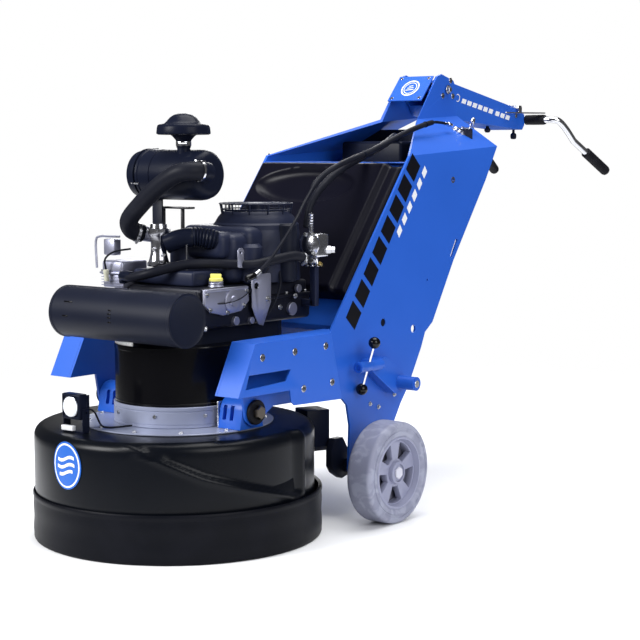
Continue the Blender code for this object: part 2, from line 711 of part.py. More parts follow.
NECK_TOP = [(1.371, 1.351), (1.349, 1.385), (1.274, 1.405), (1.246, 1.396)]
SLOT_ENDS = [(1.014, 0.788), (1.045, 0.840)]
AXLE_EAR_R = 0.034


def panel_outline():
    """Outline of a side panel as (y, z), from the front of the arm round to the back."""
    axle = (WHEEL_Y, WHEEL_R)
    outline = [ARM_FRONT_TOP, ARM_FRONT_LOW, (-EAR_R - 0.012, ARM_FRONT_LOW[1])]
    outline += arc((0.0, PIVOT_Z), EAR_R, 180.0, 330.0, 8)
    outline += [(0.085, 0.398), (0.400, 0.392), (0.440, 0.356), (0.455, 0.290)]
    outline += arc(axle, AXLE_EAR_R, 170.0, 340.0, 8)
    outline += list(reversed(PANEL_OUTLINE_REAR))
    outline += [tuple(FRONT_HIGH), tuple(FRONT_LOW), (FRONT_LOW.x - 0.020, ARM_TOP_REAR[1])]
    return outline


def slot_loop(start, end, half_width, steps):
    start, end = Vector(start), Vector(end)
    heading = math.degrees(math.atan2(end.y - start.y, end.x - start.x))
    loop = arc(start, half_width, heading + 90.0, heading + 270.0, steps)
    return loop + arc(end, half_width, heading - 90.0, heading + 90.0, steps)


def build_side_panels():
    """Each panel is one folded sheet: side, sloping shoulder and neck."""
    loops = [panel_outline(), circle((0.0, PIVOT_Z), PIVOT_R + RUN_GAP, 20),
             circle((WHEEL_Y, WHEEL_R), AXLE_SLEEVE_R + GAP, 20)]
    loops += [circle(place, radius, 12) for place, radius in PANEL_HOLES]
    loops.append(slot_loop(*SLOT_ENDS, 0.006, 4))
    for side, name in ((1, "side_panel_near"), (-1, "side_panel_far")):
        shape = flat_fill(loops)
        bmesh.ops.transform(shape, matrix=yz_matrix(), verts=shape.verts)
        bmesh.ops.translate(shape, vec=(PANEL_X, 0.0, 0.0), verts=shape.verts)
        add_neck(shape)
        if side < 0:
            mirrored(shape)
        panel = thicken(shape, name, PANEL_T, side)
        inside = Vector((side * 0.5 * NECK_X, *HANDLE_PIVOT))
        outside = Vector((side * 1.5 * NECK_X, *HANDLE_PIVOT))
        add_solid(panel, rod_shape(inside, outside, HANDLE_PIN_R + RUN_GAP, 16), "DIFFERENCE")


def shoulder_plane():
    """A point on the sloping shoulder's outer face, and its upward normal."""
    front = Vector((PANEL_X, *FRONT_HIGH))
    rear = Vector((PANEL_X, *PANEL_OUTLINE_REAR[0]))
    inner = Vector((NECK_X, *SHOULDER_FRONT))
    normal = (rear - front).cross(inner - front).normalized()
    return front, normal if normal.z > 0.0 else -normal


def shoulder_z(x, y):
    front, normal = shoulder_plane()
    return (normal.dot(front) - normal.x * x - normal.y * y) / normal.z


def add_neck(shape):
    """Fold the shoulder and the neck on to the top edge of the panel."""
    front = shape.verts.new((PANEL_X, FRONT_HIGH.x, FRONT_HIGH.y))
    rear = shape.verts.new((PANEL_X, *PANEL_OUTLINE_REAR[0]))
    low_front = shape.verts.new((NECK_X, *SHOULDER_FRONT))
    rear_z = shoulder_z(NECK_X, SHOULDER_REAR_Y)
    low_rear = shape.verts.new((NECK_X, SHOULDER_REAR_Y, rear_z))
    top = [shape.verts.new((NECK_X, *place)) for place in NECK_TOP]
    shape.faces.new((front, rear, low_rear, low_front))
    shape.faces.new([low_front, low_rear] + top)


def thicken(shape, name, thickness, side):
    """Give a sheet its thickness towards the middle of the machine."""
    bmesh.ops.remove_doubles(shape, verts=shape.verts, dist=1e-6)
    bmesh.ops.recalc_face_normals(shape, faces=shape.faces)
    outward = sum(face.normal.x * face.calc_area() for face in shape.faces)
    if outward * side < 0.0:
        bmesh.ops.reverse_faces(shape, faces=shape.faces)
    mesh = bpy.data.meshes.new(name)
    shape.to_mesh(mesh)
    shape.free()
    piece = place_data(name, mesh, "blue_paint")
    step = piece.modifiers.new("sheet", "SOLIDIFY")
    step.thickness = thickness
    step.offset = -1.0
    step.use_even_offset = True
    return piece


def build_arm_covers():
    """A box cover over each arm: outer plate, front, top and bottom flanges."""
    inner_x = PANEL_X + GAP
    outline = [ARM_FRONT_LOW, ARM_FRONT_TOP, ARM_TOP_REAR, ARM_REAR_LOW]
    outline += list(reversed(ARM_UNDER))
    loops = [outline, ARM_SLOT] + [circle(place, 0.006, 10) for place in ARM_BOLTS]
    rear_run = 0.085
    for side, name in ((1, "arm_cover_near"), (-1, "arm_cover_far")):
        shape = flat_fill(loops)
        bmesh.ops.transform(shape, matrix=yz_matrix(), verts=shape.verts)
        bmesh.ops.translate(shape, vec=(ARM_X, 0.0, 0.0), verts=shape.verts)
        path = outline[-1:] + outline[:4]
        outer = [shape.verts.new((ARM_X, *place)) for place in path]
        inner = []
        for index, (y, z) in enumerate(path):
            last = index >= len(path) - 2
            back = rear_run if last else 0.0
            x = inner_x + ARM_T if last else inner_x
            inner.append(shape.verts.new((x, y + back, z)))
        for index in range(len(path) - 1):
            shape.faces.new((outer[index], outer[index + 1], inner[index + 1], inner[index]))
        if side < 0:
            mirrored(shape)
        thicken(shape, name, ARM_T, side)


def sheet_loop(points, thickness):
    """Outline of a bent sheet whose front face runs through the points."""
    back = []
    for index, point in enumerate(points):
        before = Vector(points[max(index - 1, 0)])
        after = Vector(points[min(index + 1, len(points) - 1)])
        along = (after - before).normalized()
        back.append(Vector(point) + Vector((-along.y, along.x)) * thickness)
    return [tuple(point) for point in points] + [tuple(point) for point in reversed(back)]


def build_cross_sheet():
    """The bent sheet between the panels: top lip, sloping back and bottle shelf."""
    behind = SHIELD_T + 0.004
    top = front_line(0.658, behind)
    points = [(top.x - 0.036, top.y + 0.018), (top.x, top.y + 0.016),
              tuple(front_line(0.625, behind)), tuple(front_line(0.052, behind)),
              tuple(front_line(0.040, behind + 0.012)), tuple(front_line(0.040, behind + 0.290))]
    half = PANEL_X - PANEL_T - GAP
    side_plate("cross_sheet", [sheet_loop(points, SHEET_T)], -half, half, "blue_paint")


def build_shield():
    """The moulded black panel in front of the cross sheet."""
    half = PANEL_X - PANEL_T - 0.006
    low, high = 0.145, 0.628
    loop = [front_line(low, 0.014), front_line(low + 0.014, 0.0), front_line(high - 0.014, 0.0),
            front_line(high, 0.014), front_line(high, SHIELD_T), front_line(low, SHIELD_T)]
    side_plate("front_shield", [[tuple(point) for point in loop]], -half, half, "black_plastic")


def build_head_plate():
    """The flat plate that closes the front of the neck."""
    low, high = Vector((1.160, 1.312)), Vector((1.236, 1.398))
    along = (high - low).normalized()
    back = Vector((along.y, -along.x)) * 0.005
    loop = [low, high, high + back, low + back]
    half = NECK_X - PANEL_T - GAP
    side_plate("neck_front_plate", [[tuple(point) for point in loop]], -half, half, "blue_paint")


def build_gas_cylinder():
    """The propane bottle lying on the shelf, with its collar, and its valve wheel."""
    low = front_line(0.060, SHIELD_T + 0.020 + CYLINDER_R)
    along = (FRONT_HIGH - FRONT_LOW).normalized()
    end = low + along
    wall = CYLINDER_WALL
    r, length = CYLINDER_R, CYLINDER_L
    dome = 0.055
    profile = [(0.0, wall), (r - dome, wall)]
    profile += arc((r - dome, dome), dome - wall, -60.0, 0.0, 2)
    profile += arc((r - dome, length - dome), dome - wall, 0.0, 60.0, 2)
    profile += [(0.006, length - wall), (0.006, length + 0.020), (0.014, length + 0.020),
                (0.014, length)]
    profile += arc((r - dome, length - dome), dome, 70.0, 0.0, 3)
    profile += arc((r - dome, dome), dome, 0.0, -90.0, 3)
    profile.append((0.0, 0.0))
    matrix = axis_matrix((0.0, *low), (0.0, *end))
    turned("gas_cylinder", profile, "steel", 20, False, matrix)
    top = low + along * (length + 0.020 + GAP)
    knob = [(0.0, 0.0), (0.010, 0.0), (0.010, 0.008), (0.026, 0.010), (0.026, 0.022),
            (0.0, 0.022)]
    matrix = axis_matrix((0.0, *top), (0.0, *(top + along)))
    turned("bottle_valve_knob", knob, "black_plastic", 16, False, matrix, (0.0, *top))


CLAMP_AT = Vector((0.345, 0.488, 0.476))       # where the bar crosses its axis
CLAMP_FRONT_Y = 0.436
CLAMP_SPLIT_Y = 0.496       # the turning tube in front of it, the fixed one behind
CLAMP_REAR_Y = 0.555
CLAMP_TUBE_R = 0.0165
CLAMP_PIN_R = 0.009
CLAMP_PIN_L = 0.036
CLAMP_LEAN = 18.0
CLAMP_PLATE_X = 0.338
CLAMP_PLATE = [(0.515, 0.492), (0.500, 0.470), (0.640, 0.372), (0.680, 0.372), (0.698, 0.395),
               (0.692, 0.430), (0.600, 0.492)]
CLAMP_BOSS = Vector((0.320, 0.668, 0.405))
CLAMP_BOSS_L = 0.082
CLAMP_BOSS_R = 0.022
BALL_R = 0.0185
BALL_REACH = 0.078
BALL_ROD_R = 0.0045


def clamp_point(y):
    return Vector((CLAMP_AT.x, y, CLAMP_AT.z))


def build_clamp_bracket():
    """A thick plate on the side panel, with the fixed tube that the clamp turns in."""
    piece = side_plate("clamp_bracket", [CLAMP_PLATE], PANEL_X + GAP, CLAMP_PLATE_X, "blue_paint")
    start, end = clamp_point(CLAMP_SPLIT_Y + RUN_GAP), clamp_point(CLAMP_REAR_Y)
    add_solid(piece, rod_shape(start, end, CLAMP_TUBE_R, 20))
    boss_end = CLAMP_BOSS + Vector((CLAMP_BOSS_L, 0.0, 0.0))
    add_solid(piece, rod_shape(CLAMP_BOSS, boss_end, CLAMP_BOSS_R, 20))
    start = clamp_point(CLAMP_SPLIT_Y - GAP)
    end = clamp_point(CLAMP_SPLIT_Y + CLAMP_PIN_L + 2.0 * RUN_GAP)
    add_solid(piece, rod_shape(start, end, CLAMP_PIN_R + RUN_GAP, 16), "DIFFERENCE")


def build_clamp_bar():
    """The turning tube and its pin, crossed by a bar with a ball at each end."""
    lean = math.radians(CLAMP_LEAN)
    reach = Vector((math.sin(lean), 0.0, math.cos(lean)))
    profile = [(0.0, -BALL_REACH - BALL_R)]
    profile += arc((0.0, -BALL_REACH), BALL_R, -60.0, 76.0, 6)
    profile += [(BALL_ROD_R, -BALL_REACH + BALL_R), (BALL_ROD_R, BALL_REACH - BALL_R)]
    profile += arc((0.0, BALL_REACH), BALL_R, -76.0, 60.0, 6)
    profile.append((0.0, BALL_REACH + BALL_R))
    piece = turned("clamp_bar", profile, "chrome", 12, False,
                   axis_matrix(CLAMP_AT, CLAMP_AT + reach), tuple(CLAMP_AT))
    start, end = clamp_point(CLAMP_FRONT_Y), clamp_point(CLAMP_SPLIT_Y)
    add_solid(piece, rod_shape(start, end, CLAMP_TUBE_R, 20))
    pin_end = clamp_point(CLAMP_SPLIT_Y + CLAMP_PIN_L)
    add_solid(piece, rod_shape(end - Vector((0.0, 0.010, 0.0)), pin_end, CLAMP_PIN_R, 16))


CABLE_ROUTE = [(0.190, 1.165, 1.226), (0.196, 1.100, 1.232), (0.200, 1.030, 1.230),
               (0.200, 0.900, 1.200), (0.200, 0.707, 1.140), (0.196, 0.533, 1.093),
               (0.190, 0.440, 1.050), (0.215, 0.345, 0.990), (0.252, 0.250, 0.933),
               (0.264, 0.180, 0.878), (0.266, 0.118, 0.826), (0.252, 0.070, 0.782)]
LOOM_ROUTE = [(0.020, 1.080, 1.180), (0.080, 0.990, 1.185), (0.130, 0.880, 1.165),
              (0.150, 0.760, 1.130), (0.150, 0.620, 1.085), (0.145, 0.520, 1.030),
              (0.140, 0.462, 0.970), (0.140, 0.440, 0.900)]


def build_cables():
    tube("throttle_cable", smooth_route(CABLE_ROUTE, 2), 0.0050, "black_rubber", sides=2)
    tube("wiring_loom", smooth_route(LOOM_ROUTE, 2), 0.0120, "black_rubber", sides=2)


THROTTLE_AT = Vector((0.190, 1.235))


def shoulder_frame():
    """A matrix on the shoulder's outer face at the throttle, with +z out of it."""
    x, y = THROTTLE_AT
    z = shoulder_z(x, y)
    normal = shoulder_plane()[1]
    turn = Vector((0, 0, 1)).rotation_difference(normal).to_matrix().to_4x4()
    return Matrix.Translation((x, y, z)) @ turn


def build_throttle():
    place = shoulder_frame()
    loop = slot_loop((0.0, 0.0), (0.0, 0.050), 0.014, 6)
    shape = plate_shape([loop], 0.010, 0.014)
    bmesh.ops.transform(shape, matrix=place, verts=shape.verts)
    origin = tuple(place.translation)
    piece = finish("throttle_lever", shape, "steel", origin)
    low, high = place @ Vector((0, 0, GAP)), place @ Vector((0, 0, 0.016))
    add_solid(piece, rod_shape(low, high, 0.016, 20))
    low, high = place @ Vector((0, 0.050, 0.012)), place @ Vector((0, 0.050, 0.055))
    add_solid(piece, rod_shape(low, high, 0.0075, 12))


# ---------------------------------------------------------------- wheels

def build_wheels():
    for side, word in ((1, "near"), (-1, "far")):
        matrix = Matrix.Translation((0.0, WHEEL_Y, WHEEL_R)) @ along_x()
        if side < 0:
            matrix = Matrix.Scale(-1.0, 4, (1, 0, 0)) @ matrix
        centre = (side * (WHEEL_X + 0.5 * WHEEL_W), WHEEL_Y, WHEEL_R)
        build_tyre("tyre_" + word, matrix, centre)
        build_hub("wheel_hub_" + word, side, centre)
        end = WHEEL_X + WHEEL_W - 0.004
        sleeve = WHEEL_X + 0.004
        inner = PANEL_X - AXLE_OVERHANG
        profile = [(0.0, inner), (AXLE_SLEEVE_R - 0.003, inner), (AXLE_SLEEVE_R, inner + 0.003),
                   (AXLE_SLEEVE_R, sleeve), (AXLE_R, sleeve), (AXLE_R, end), (0.0, end)]
        turned("stub_axle_" + word, profile, "black_paint", 20, False, matrix)


def build_tyre(name, matrix, centre):
    low, high = WHEEL_X, WHEEL_X + WHEEL_W
    edge = 0.007
    profile = [(RIM_R + GAP, low), (WHEEL_R - edge, low), (WHEEL_R, low + edge),
               (WHEEL_R, high - edge), (WHEEL_R - edge, high), (RIM_R + GAP, high)]
    turned(name, profile, "grey_tyre", 36, True, matrix, centre)


def build_hub(name, side, centre):
    axle = Vector((WHEEL_Y, WHEEL_R))
    loops = [circle(axle, RIM_R, 36), circle(axle, AXLE_R + RUN_GAP, 16)]
    for index in range(SPOKES):
        heading = 90.0 + 360.0 * (index + 0.5) / SPOKES
        window = arc(axle, RIM_R - 0.014, heading - 21.0, heading + 21.0, 4)
        window += arc(axle, 0.044, heading + 15.0, heading - 15.0, 2)
        loops.append(window)
    shape = plate_shape(loops, WHEEL_X + 0.010, WHEEL_X + WHEEL_W - 0.008)
    bmesh.ops.transform(shape, matrix=yz_matrix(), verts=shape.verts)
    if side < 0:
        mirrored(shape)
    finish(name, shape, "grey_hub", centre)


# ---------------------------------------------------------------- handle

ARM_BOX = [(1.264, 1.322), (1.284, 1.386), (1.340, 1.380), (1.826, 1.291),
           (1.866 - BAR_R - GAP, 1.272), (1.866 - BAR_R - GAP, 1.234), (1.838, 1.216),
           (1.400, 1.246), (1.310, 1.262)]
ARM_HOLLOW = [(1.240, 1.297), (1.240, 1.375), (1.338, 1.3755), (1.825, 1.2865), (1.8485, 1.270),
              (1.8485, 1.237), (1.836, 1.2205), (1.401, 1.2505), (1.313, 1.267), (1.290, 1.297)]
ARM_WALL = 0.004
HANDLE_PIN_R = 0.010
HANDLE_PIN_X = NECK_X + 0.004
BAR_SIDE = [(0.150, BAR_Y, BAR_Z), (0.178, BAR_Y + 0.004, BAR_Z), (0.200, 1.886, 1.248),
            (0.212, 1.918, 1.220), (0.222, 1.962, 1.174)]
BAR_END = (0.254, 2.165, 1.056)


def build_handle():
    pivot = (0.0, *HANDLE_PIVOT)
    half = HANDLE_HALF_W
    arm = side_plate("handle_arm", [ARM_BOX], -half, half, "blue_paint", pivot)
    hollow = plate_shape([ARM_HOLLOW], ARM_WALL - half, half - ARM_WALL)
    bmesh.ops.transform(hollow, matrix=yz_matrix(), verts=hollow.verts)
    add_solid(arm, hollow, "DIFFERENCE")
    pin_ends = [Vector((x, *HANDLE_PIVOT)) for x in (-HANDLE_PIN_X, HANDLE_PIN_X)]
    add_solid(arm, rod_shape(*pin_ends, HANDLE_PIN_R, 16))
    tip = Vector(BAR_END)
    last = Vector(BAR_SIDE[-1])
    heading = (tip - last).normalized()
    side = BAR_SIDE + [tuple(tip - heading * 0.008)]
    far = [(-x, y, z) for x, y, z in reversed(side)]
    tube("handlebar", far + side, BAR_R, "chrome", pivot, sides=3)
    grip_at = tip - heading * GRIP_L
    bore = BAR_R + GAP
    profile = [(bore, 0.0), (GRIP_R - 0.002, 0.0), (GRIP_R, 0.003), (GRIP_R, GRIP_L - 0.006),
               (GRIP_R - 0.005, GRIP_L), (0.0, GRIP_L + 0.002), (0.0, GRIP_L - 0.006),
               (bore, GRIP_L - 0.006)]
    matrix = axis_matrix(grip_at, tip)
    open_profile = profile[-2:] + profile[:-2]
    for word, flip in (("near", 1.0), ("far", -1.0)):
        place = Matrix.Scale(flip, 4, (1, 0, 0)) @ matrix
        build_grip("grip_" + word, open_profile, place, pivot)


def build_grip(name, profile, matrix, pivot):
    """A closed-end rubber sleeve over the end of the bar."""
    turned(name, profile, "black_rubber", 16, False, matrix, pivot)


LEVER_AT = Vector((0.030, 1.800, 1.303))
LOCK_KNOB_AT = Vector((0.045, 1.815, 1.2170))  # on the underside of the handle's box


def build_hand_controls():
    low_z = LEVER_AT.z
    loop = slot_loop((LEVER_AT.x, LEVER_AT.y), (LEVER_AT.x + 0.115, LEVER_AT.y + 0.028), 0.008, 5)
    shape = plate_shape([loop], low_z, low_z + 0.004)
    lever = finish("hand_lever", shape, "chrome", tuple(LEVER_AT))
    add_solid(lever, rod_shape(LEVER_AT - Vector((0.0, 0.0, 0.005)), LEVER_AT, 0.007, 12))
    at = LOCK_KNOB_AT - Vector((0.0, 0.0, GAP))
    profile = [(0.0, 0.0), (0.006, 0.0), (0.006, -0.014), (0.0115, -0.018), (0.0115, -0.030),
               (0.006, -0.036), (0.0, -0.036)]
    turned("lock_knob", profile, "black_plastic", 16, False, Matrix.Translation(at), tuple(at))


# ---------------------------------------------------------------- whole machine

def centre_on_origin():
    """Slide the machine along y until the origin is under its middle."""
    bpy.context.view_layer.update()
    graph = bpy.context.evaluated_depsgraph_get()
    lows, highs = [], []
    for piece in bpy.context.scene.objects:
        if piece.hide_render:
            continue
        solid = piece.evaluated_get(graph)
        mesh = solid.to_mesh()
        places = [(solid.matrix_world @ vert.co).y for vert in mesh.vertices]
        lows.append(min(places))
        highs.append(max(places))
        solid.to_mesh_clear()
    shift = -0.5 * (min(lows) + max(highs))
    for piece in bpy.context.scene.objects:
        piece.location.y += shift
    print("shift along y", round(shift, 5))


def main():
    clear_scene()
    build_cover()
    build_skirt()
    build_deck_stack()
    build_dust_port()
    build_lugs()
    build_work_light()
    build_rotor()
    build_grinding_heads()
    build_belt_drive()
    build_crankcase()
    build_cylinders()
    build_blower()
    build_muffler()
    build_air_cleaner()
    build_rain_cap()
    build_hoses()
    build_fuel_parts()
    build_oil_filler()
    build_side_panels()
    build_arm_covers()
    build_cross_sheet()
    build_shield()
    build_head_plate()
    build_gas_cylinder()
    build_clamp_bracket()
    build_clamp_bar()
    build_cables()
    build_throttle()
    build_wheels()
    build_handle()
    build_hand_controls()
    centre_on_origin()


main()
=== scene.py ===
"""The gas-engined planetary concrete grinder as it looks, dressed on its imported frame.

Places are laid out from the grinding head's axis, in metres: x runs across the
machine, -y is the front and +z is up. put() slides each finished piece by HEAD_Y
to where the frame has that axis.
"""

import json
import math

import bmesh
import bpy
from mathutils import Matrix, Vector, noise

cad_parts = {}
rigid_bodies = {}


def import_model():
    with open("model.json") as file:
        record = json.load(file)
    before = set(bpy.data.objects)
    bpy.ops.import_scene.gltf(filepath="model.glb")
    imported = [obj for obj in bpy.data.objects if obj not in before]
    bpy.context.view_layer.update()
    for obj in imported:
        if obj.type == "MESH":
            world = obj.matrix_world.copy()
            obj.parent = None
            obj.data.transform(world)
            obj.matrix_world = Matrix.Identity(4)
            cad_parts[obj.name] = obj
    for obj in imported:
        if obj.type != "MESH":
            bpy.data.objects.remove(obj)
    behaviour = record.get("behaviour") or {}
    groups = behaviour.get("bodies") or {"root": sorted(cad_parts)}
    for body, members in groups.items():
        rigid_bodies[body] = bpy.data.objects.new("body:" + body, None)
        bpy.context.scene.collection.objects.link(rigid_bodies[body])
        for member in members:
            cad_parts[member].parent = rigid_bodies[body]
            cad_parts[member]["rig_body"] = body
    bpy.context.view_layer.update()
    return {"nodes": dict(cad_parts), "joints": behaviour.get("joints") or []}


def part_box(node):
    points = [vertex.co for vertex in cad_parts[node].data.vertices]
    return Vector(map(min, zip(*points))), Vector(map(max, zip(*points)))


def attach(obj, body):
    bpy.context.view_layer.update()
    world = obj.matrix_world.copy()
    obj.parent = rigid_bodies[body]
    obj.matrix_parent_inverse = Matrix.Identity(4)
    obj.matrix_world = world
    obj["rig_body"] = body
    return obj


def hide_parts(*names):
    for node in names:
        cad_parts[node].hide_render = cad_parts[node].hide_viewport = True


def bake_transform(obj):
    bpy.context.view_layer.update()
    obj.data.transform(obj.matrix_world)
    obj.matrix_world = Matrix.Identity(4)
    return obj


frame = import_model()
DRUM_LOW, DRUM_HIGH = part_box("drum_housing")
HEAD_Y = 0.5 * (DRUM_LOW.y + DRUM_HIGH.y)


# ---------------------------------------------------------------- finishes

class Wire:
    """A shader value that adds Math nodes when it is used in an expression."""

    def __init__(self, look, socket):
        self.look = look
        self.socket = socket

    def maths(self, operation, first, second=0.0):
        return self.look.node("ShaderNodeMath", {"operation": operation}, {0: first, 1: second})

    def __add__(self, other):
        return self.maths("ADD", self, other)

    def __radd__(self, other):
        return self.maths("ADD", other, self)

    def __sub__(self, other):
        return self.maths("SUBTRACT", self, other)

    def __rsub__(self, other):
        return self.maths("SUBTRACT", other, self)

    def __mul__(self, other):
        return self.maths("MULTIPLY", self, other)

    def __rmul__(self, other):
        return self.maths("MULTIPLY", other, self)

    def above(self, edge, softness):
        """0 below the edge, 1 above it, with a soft step between."""
        return self.look.node(
            "ShaderNodeMapRange", {"interpolation_type": "SMOOTHSTEP"},
            {"Value": self, "From Min": edge - softness, "From Max": edge + softness})


class Look:
    """One finish: a Principled shader, the nodes that vary it and a slot argument that is not
    used.
    """

    def __init__(self, name, slot="", metallic=0.0):
        self.material = bpy.data.materials.new(name)
        self.material.use_nodes = True
        self.tree = self.material.node_tree
        self.shader = self.tree.nodes["Principled BSDF"]
        self.place = self.node("ShaderNodeTexCoord", {}, {}, "Object")
        self.set("Metallic", metallic)

    def set(self, socket, value):
        self.feed(self.shader.inputs[socket], value)

    def feed(self, socket, value):
        if isinstance(value, Wire):
            self.tree.links.new(value.socket, socket)
        elif socket.type == "RGBA" and len(value) == 3:
            socket.default_value = (*value, 1.0)
        else:
            socket.default_value = value

    def node(self, kind, settings, sockets, output=0):
        made = self.tree.nodes.new(kind)
        for name, value in settings.items():
            setattr(made, name, value)
        for key, value in sockets.items():
            self.feed(made.inputs[key], value)
        return Wire(self, made.outputs[output])

    def noise(self, scale, stretch=(1.0, 1.0, 1.0), detail=3.0, centre=(0.0, 0.0, 0.0)):
        """Soft noise from 0 to 1; scale is in waves per metre."""
        place = self.node(
            "ShaderNodeMapping", {}, {"Vector": self.place, "Scale": stretch, "Location": centre})
        return self.node(
            "ShaderNodeTexNoise", {}, {"Vector": place, "Scale": scale, "Detail": detail}, "Fac")

    def mix(self, first, second, factor):
        return self.node(
            "ShaderNodeMix", {"data_type": "RGBA"}, {"Factor": factor, 6: first, 7: second}, 2)

    def bump(self, height, strength, distance):
        normal = self.node(
            "ShaderNodeBump", {}, {"Strength": strength, "Distance": distance, "Height": height},
            "Normal")
        self.set("Normal", normal)


def coated(name, slot, colour, rough, mottle=0.12, grain=700.0, relief=0.1, metal=0.0, shine=0.5):
    """Paint, moulding or casting: a little uneven in colour, sheen and surface."""
    look = Look(name, slot, metal)
    look.set("Specular IOR Level", shine)
    broad = look.noise(6.0)
    fine = look.noise(grain, detail=2.0)
    dark = tuple(value * (1.0 - mottle) for value in colour)
    light = tuple(min(1.0, value * (1.0 + mottle)) for value in colour)
    look.set("Base Color", look.mix(dark, light, broad))
    look.set("Roughness", rough + (broad - 0.5) * 0.1 + (fine - 0.5) * 0.08)
    look.bump(fine, relief, 0.0006)
    return look.material


def machined(name, slot, colour, rough, stretch, scale=60.0, relief=0.15):
    """Bare metal with fine tool marks that run across the stretched direction."""
    look = Look(name, slot, 1.0)
    marks = look.noise(scale, stretch, 2.0)
    cloud = look.noise(9.0)
    dark = tuple(value * 0.82 for value in colour)
    look.set("Base Color", look.mix(dark, colour, marks * 0.6 + cloud * 0.4))
    look.set("Roughness", rough + (marks - 0.5) * 0.18 + (cloud - 0.5) * 0.08)
    look.bump(marks, relief, 0.0004)
    return look.material


def dusty(name, slot, colour, dust_colour, rough, dust=0.35, grain=500.0, relief=0.2):
    """Rubber or tyre with pale rubbed patches."""
    look = Look(name, slot)
    look.set("Specular IOR Level", 0.08)
    cloud = look.noise(11.0, detail=6.0)
    fine = look.noise(grain, detail=3.0)
    patches = cloud.above(0.56, 0.12) * dust
    look.set("Base Color", look.mix(colour, dust_colour, patches))
    look.set("Roughness", rough + (fine - 0.5) * 0.12 + patches * 0.15)
    look.bump(fine, relief, 0.0006)
    return look.material


def swirled(name, slot, colour, light_colour):
    """Moulded grey tyre rubber with cloudy swirls of a lighter grey."""
    look = Look(name, slot)
    warp = look.noise(7.0, detail=4.0)
    swirl = look.node(
        "ShaderNodeTexNoise", {}, {"Vector": look.place, "Scale": 16.0, "Detail": 5.0,
        "Distortion": 1.6}, "Fac")
    fine = look.noise(420.0)
    mask = (swirl * 0.7 + warp * 0.3).above(0.52, 0.06)
    look.set("Base Color", look.mix(colour, light_colour, mask * 0.75))
    look.set("Roughness", 0.55 + (fine - 0.5) * 0.15)
    look.bump(fine + swirl * 0.4, 0.18, 0.0008)
    return look.material


def lens_glass():
    """The lamp's clear lens, ribbed on the inside."""
    look = Look("lamp_lens_clear", "clear_lens")
    look.set("IOR", 1.45)
    ribs = look.node(
        "ShaderNodeTexWave", {"bands_direction": "X"}, {"Vector": look.place, "Scale": 60.0},
        "Fac")
    look.set("Base Color", look.mix((0.55, 0.6, 0.68), (0.92, 0.94, 0.97), ribs))
    look.set("Roughness", 0.06 + ribs * 0.1)
    look.bump(ribs, 0.4, 0.0008)
    look.set("Coat Weight", 1.0)
    return look.material


BLUE = coated(
    "blue_powder_coat", "blue_paint", (0.014, 0.1, 0.52), 0.38, 0.05, 650.0, 0.1, 0.0, 0.4)
MUFFLER_BLACK = coated(
    "satin_black_heat_paint", "black_paint", (0.008, 0.01, 0.02), 0.42, 0.2, 900.0, 0.22, 0.0,
    0.14)
DRUM_BLACK = coated(
    "black_enamel", "black_paint", (0.002, 0.002, 0.003), 0.2, 0.15, 500.0, 0.05, 0.0, 0.3)
COVER_BLACK = coated(
    "rotomoulded_black", "black_plastic", (0.002, 0.0028, 0.0052), 0.3, 0.2, 520.0, 0.1, 0.0, 0.16)
PLASTIC_BLACK = coated(
    "moulded_black_plastic", "black_plastic", (0.006, 0.008, 0.018), 0.32, 0.15, 800.0, 0.12, 0.0,
    0.09)
SHROUD_BLACK = coated(
    "engine_shroud_plastic", "black_plastic", (0.013, 0.017, 0.04), 0.42, 0.15, 700.0, 0.2, 0.0,
    0.22)
SHIELD_BLACK = coated(
    "glossy_vacuum_formed_black", "black_plastic", (0.003, 0.003, 0.008), 0.34, 0.1, 9.0, 0.12,
    0.0, 0.14)
CASE_BLACK = coated(
    "black_painted_casting", "aluminium", (0.008, 0.009, 0.017), 0.45, 0.25, 380.0, 0.55, 0.2, 0.3)
GRIP_RUBBER = dusty("grip_rubber", "black_rubber", (0.01, 0.01, 0.013), (0.03, 0.03, 0.035), 0.5)
SKIRT_RUBBER = dusty(
    "skirt_rubber", "black_rubber", (0.0035, 0.004, 0.0065), (0.008, 0.0085, 0.013), 0.4, 0.3,
    300.0, 0.14)
HOSE_RUBBER = dusty(
    "hose_rubber", "black_rubber", (0.01, 0.011, 0.017), (0.022, 0.023, 0.03), 0.42, 0.3)
CAST_ALLOY = coated(
    "cast_aluminium", "aluminium", (0.4, 0.41, 0.52), 0.42, 0.16, 420.0, 0.55, 0.85)
FLANGE_ALLOY = coated(
    "turned_aluminium", "aluminium", (0.34, 0.37, 0.5), 0.4, 0.12, 160.0, 0.1, 0.35)
FITTING_ALLOY = machined(
    "polished_fitting_alloy", "steel", (0.72, 0.73, 0.8), 0.2, (1.0, 1.0, 4.0))
ZINC = machined("zinc_plated_steel", "steel", (0.62, 0.63, 0.66), 0.28, (1.0, 1.0, 1.0), 160.0)
CHROME = machined(
    "polished_chrome", "chrome", (0.8, 0.81, 0.86), 0.16, (1.0, 1.0, 3.0), 30.0, 0.03)
BRASS = machined("yellow_brass", "steel", (0.62, 0.46, 0.16), 0.28, (1.0, 1.0, 3.0), 90.0)
IRON = coated("bare_iron", "steel", (0.1, 0.1, 0.105), 0.5, 0.25, 350.0, 0.5, 0.8)
OXIDE_STEEL = machined(
    "browned_bolt_steel", "steel", (0.16, 0.14, 0.12), 0.35, (1.0, 1.0, 1.0), 200.0)
DECK_WHITE = coated(
    "pale_deck_paint", "white_deck", (0.3, 0.33, 0.44), 0.34, 0.05, 500.0, 0.08, 0.25)
TYRE_GREY = swirled("grey_tyre_rubber", "grey_tyre", (0.225, 0.235, 0.32), (0.32, 0.335, 0.43))
HUB_GREY = coated("grey_hub_moulding", "steel", (0.27, 0.28, 0.39), 0.48, 0.06, 450.0, 0.2)
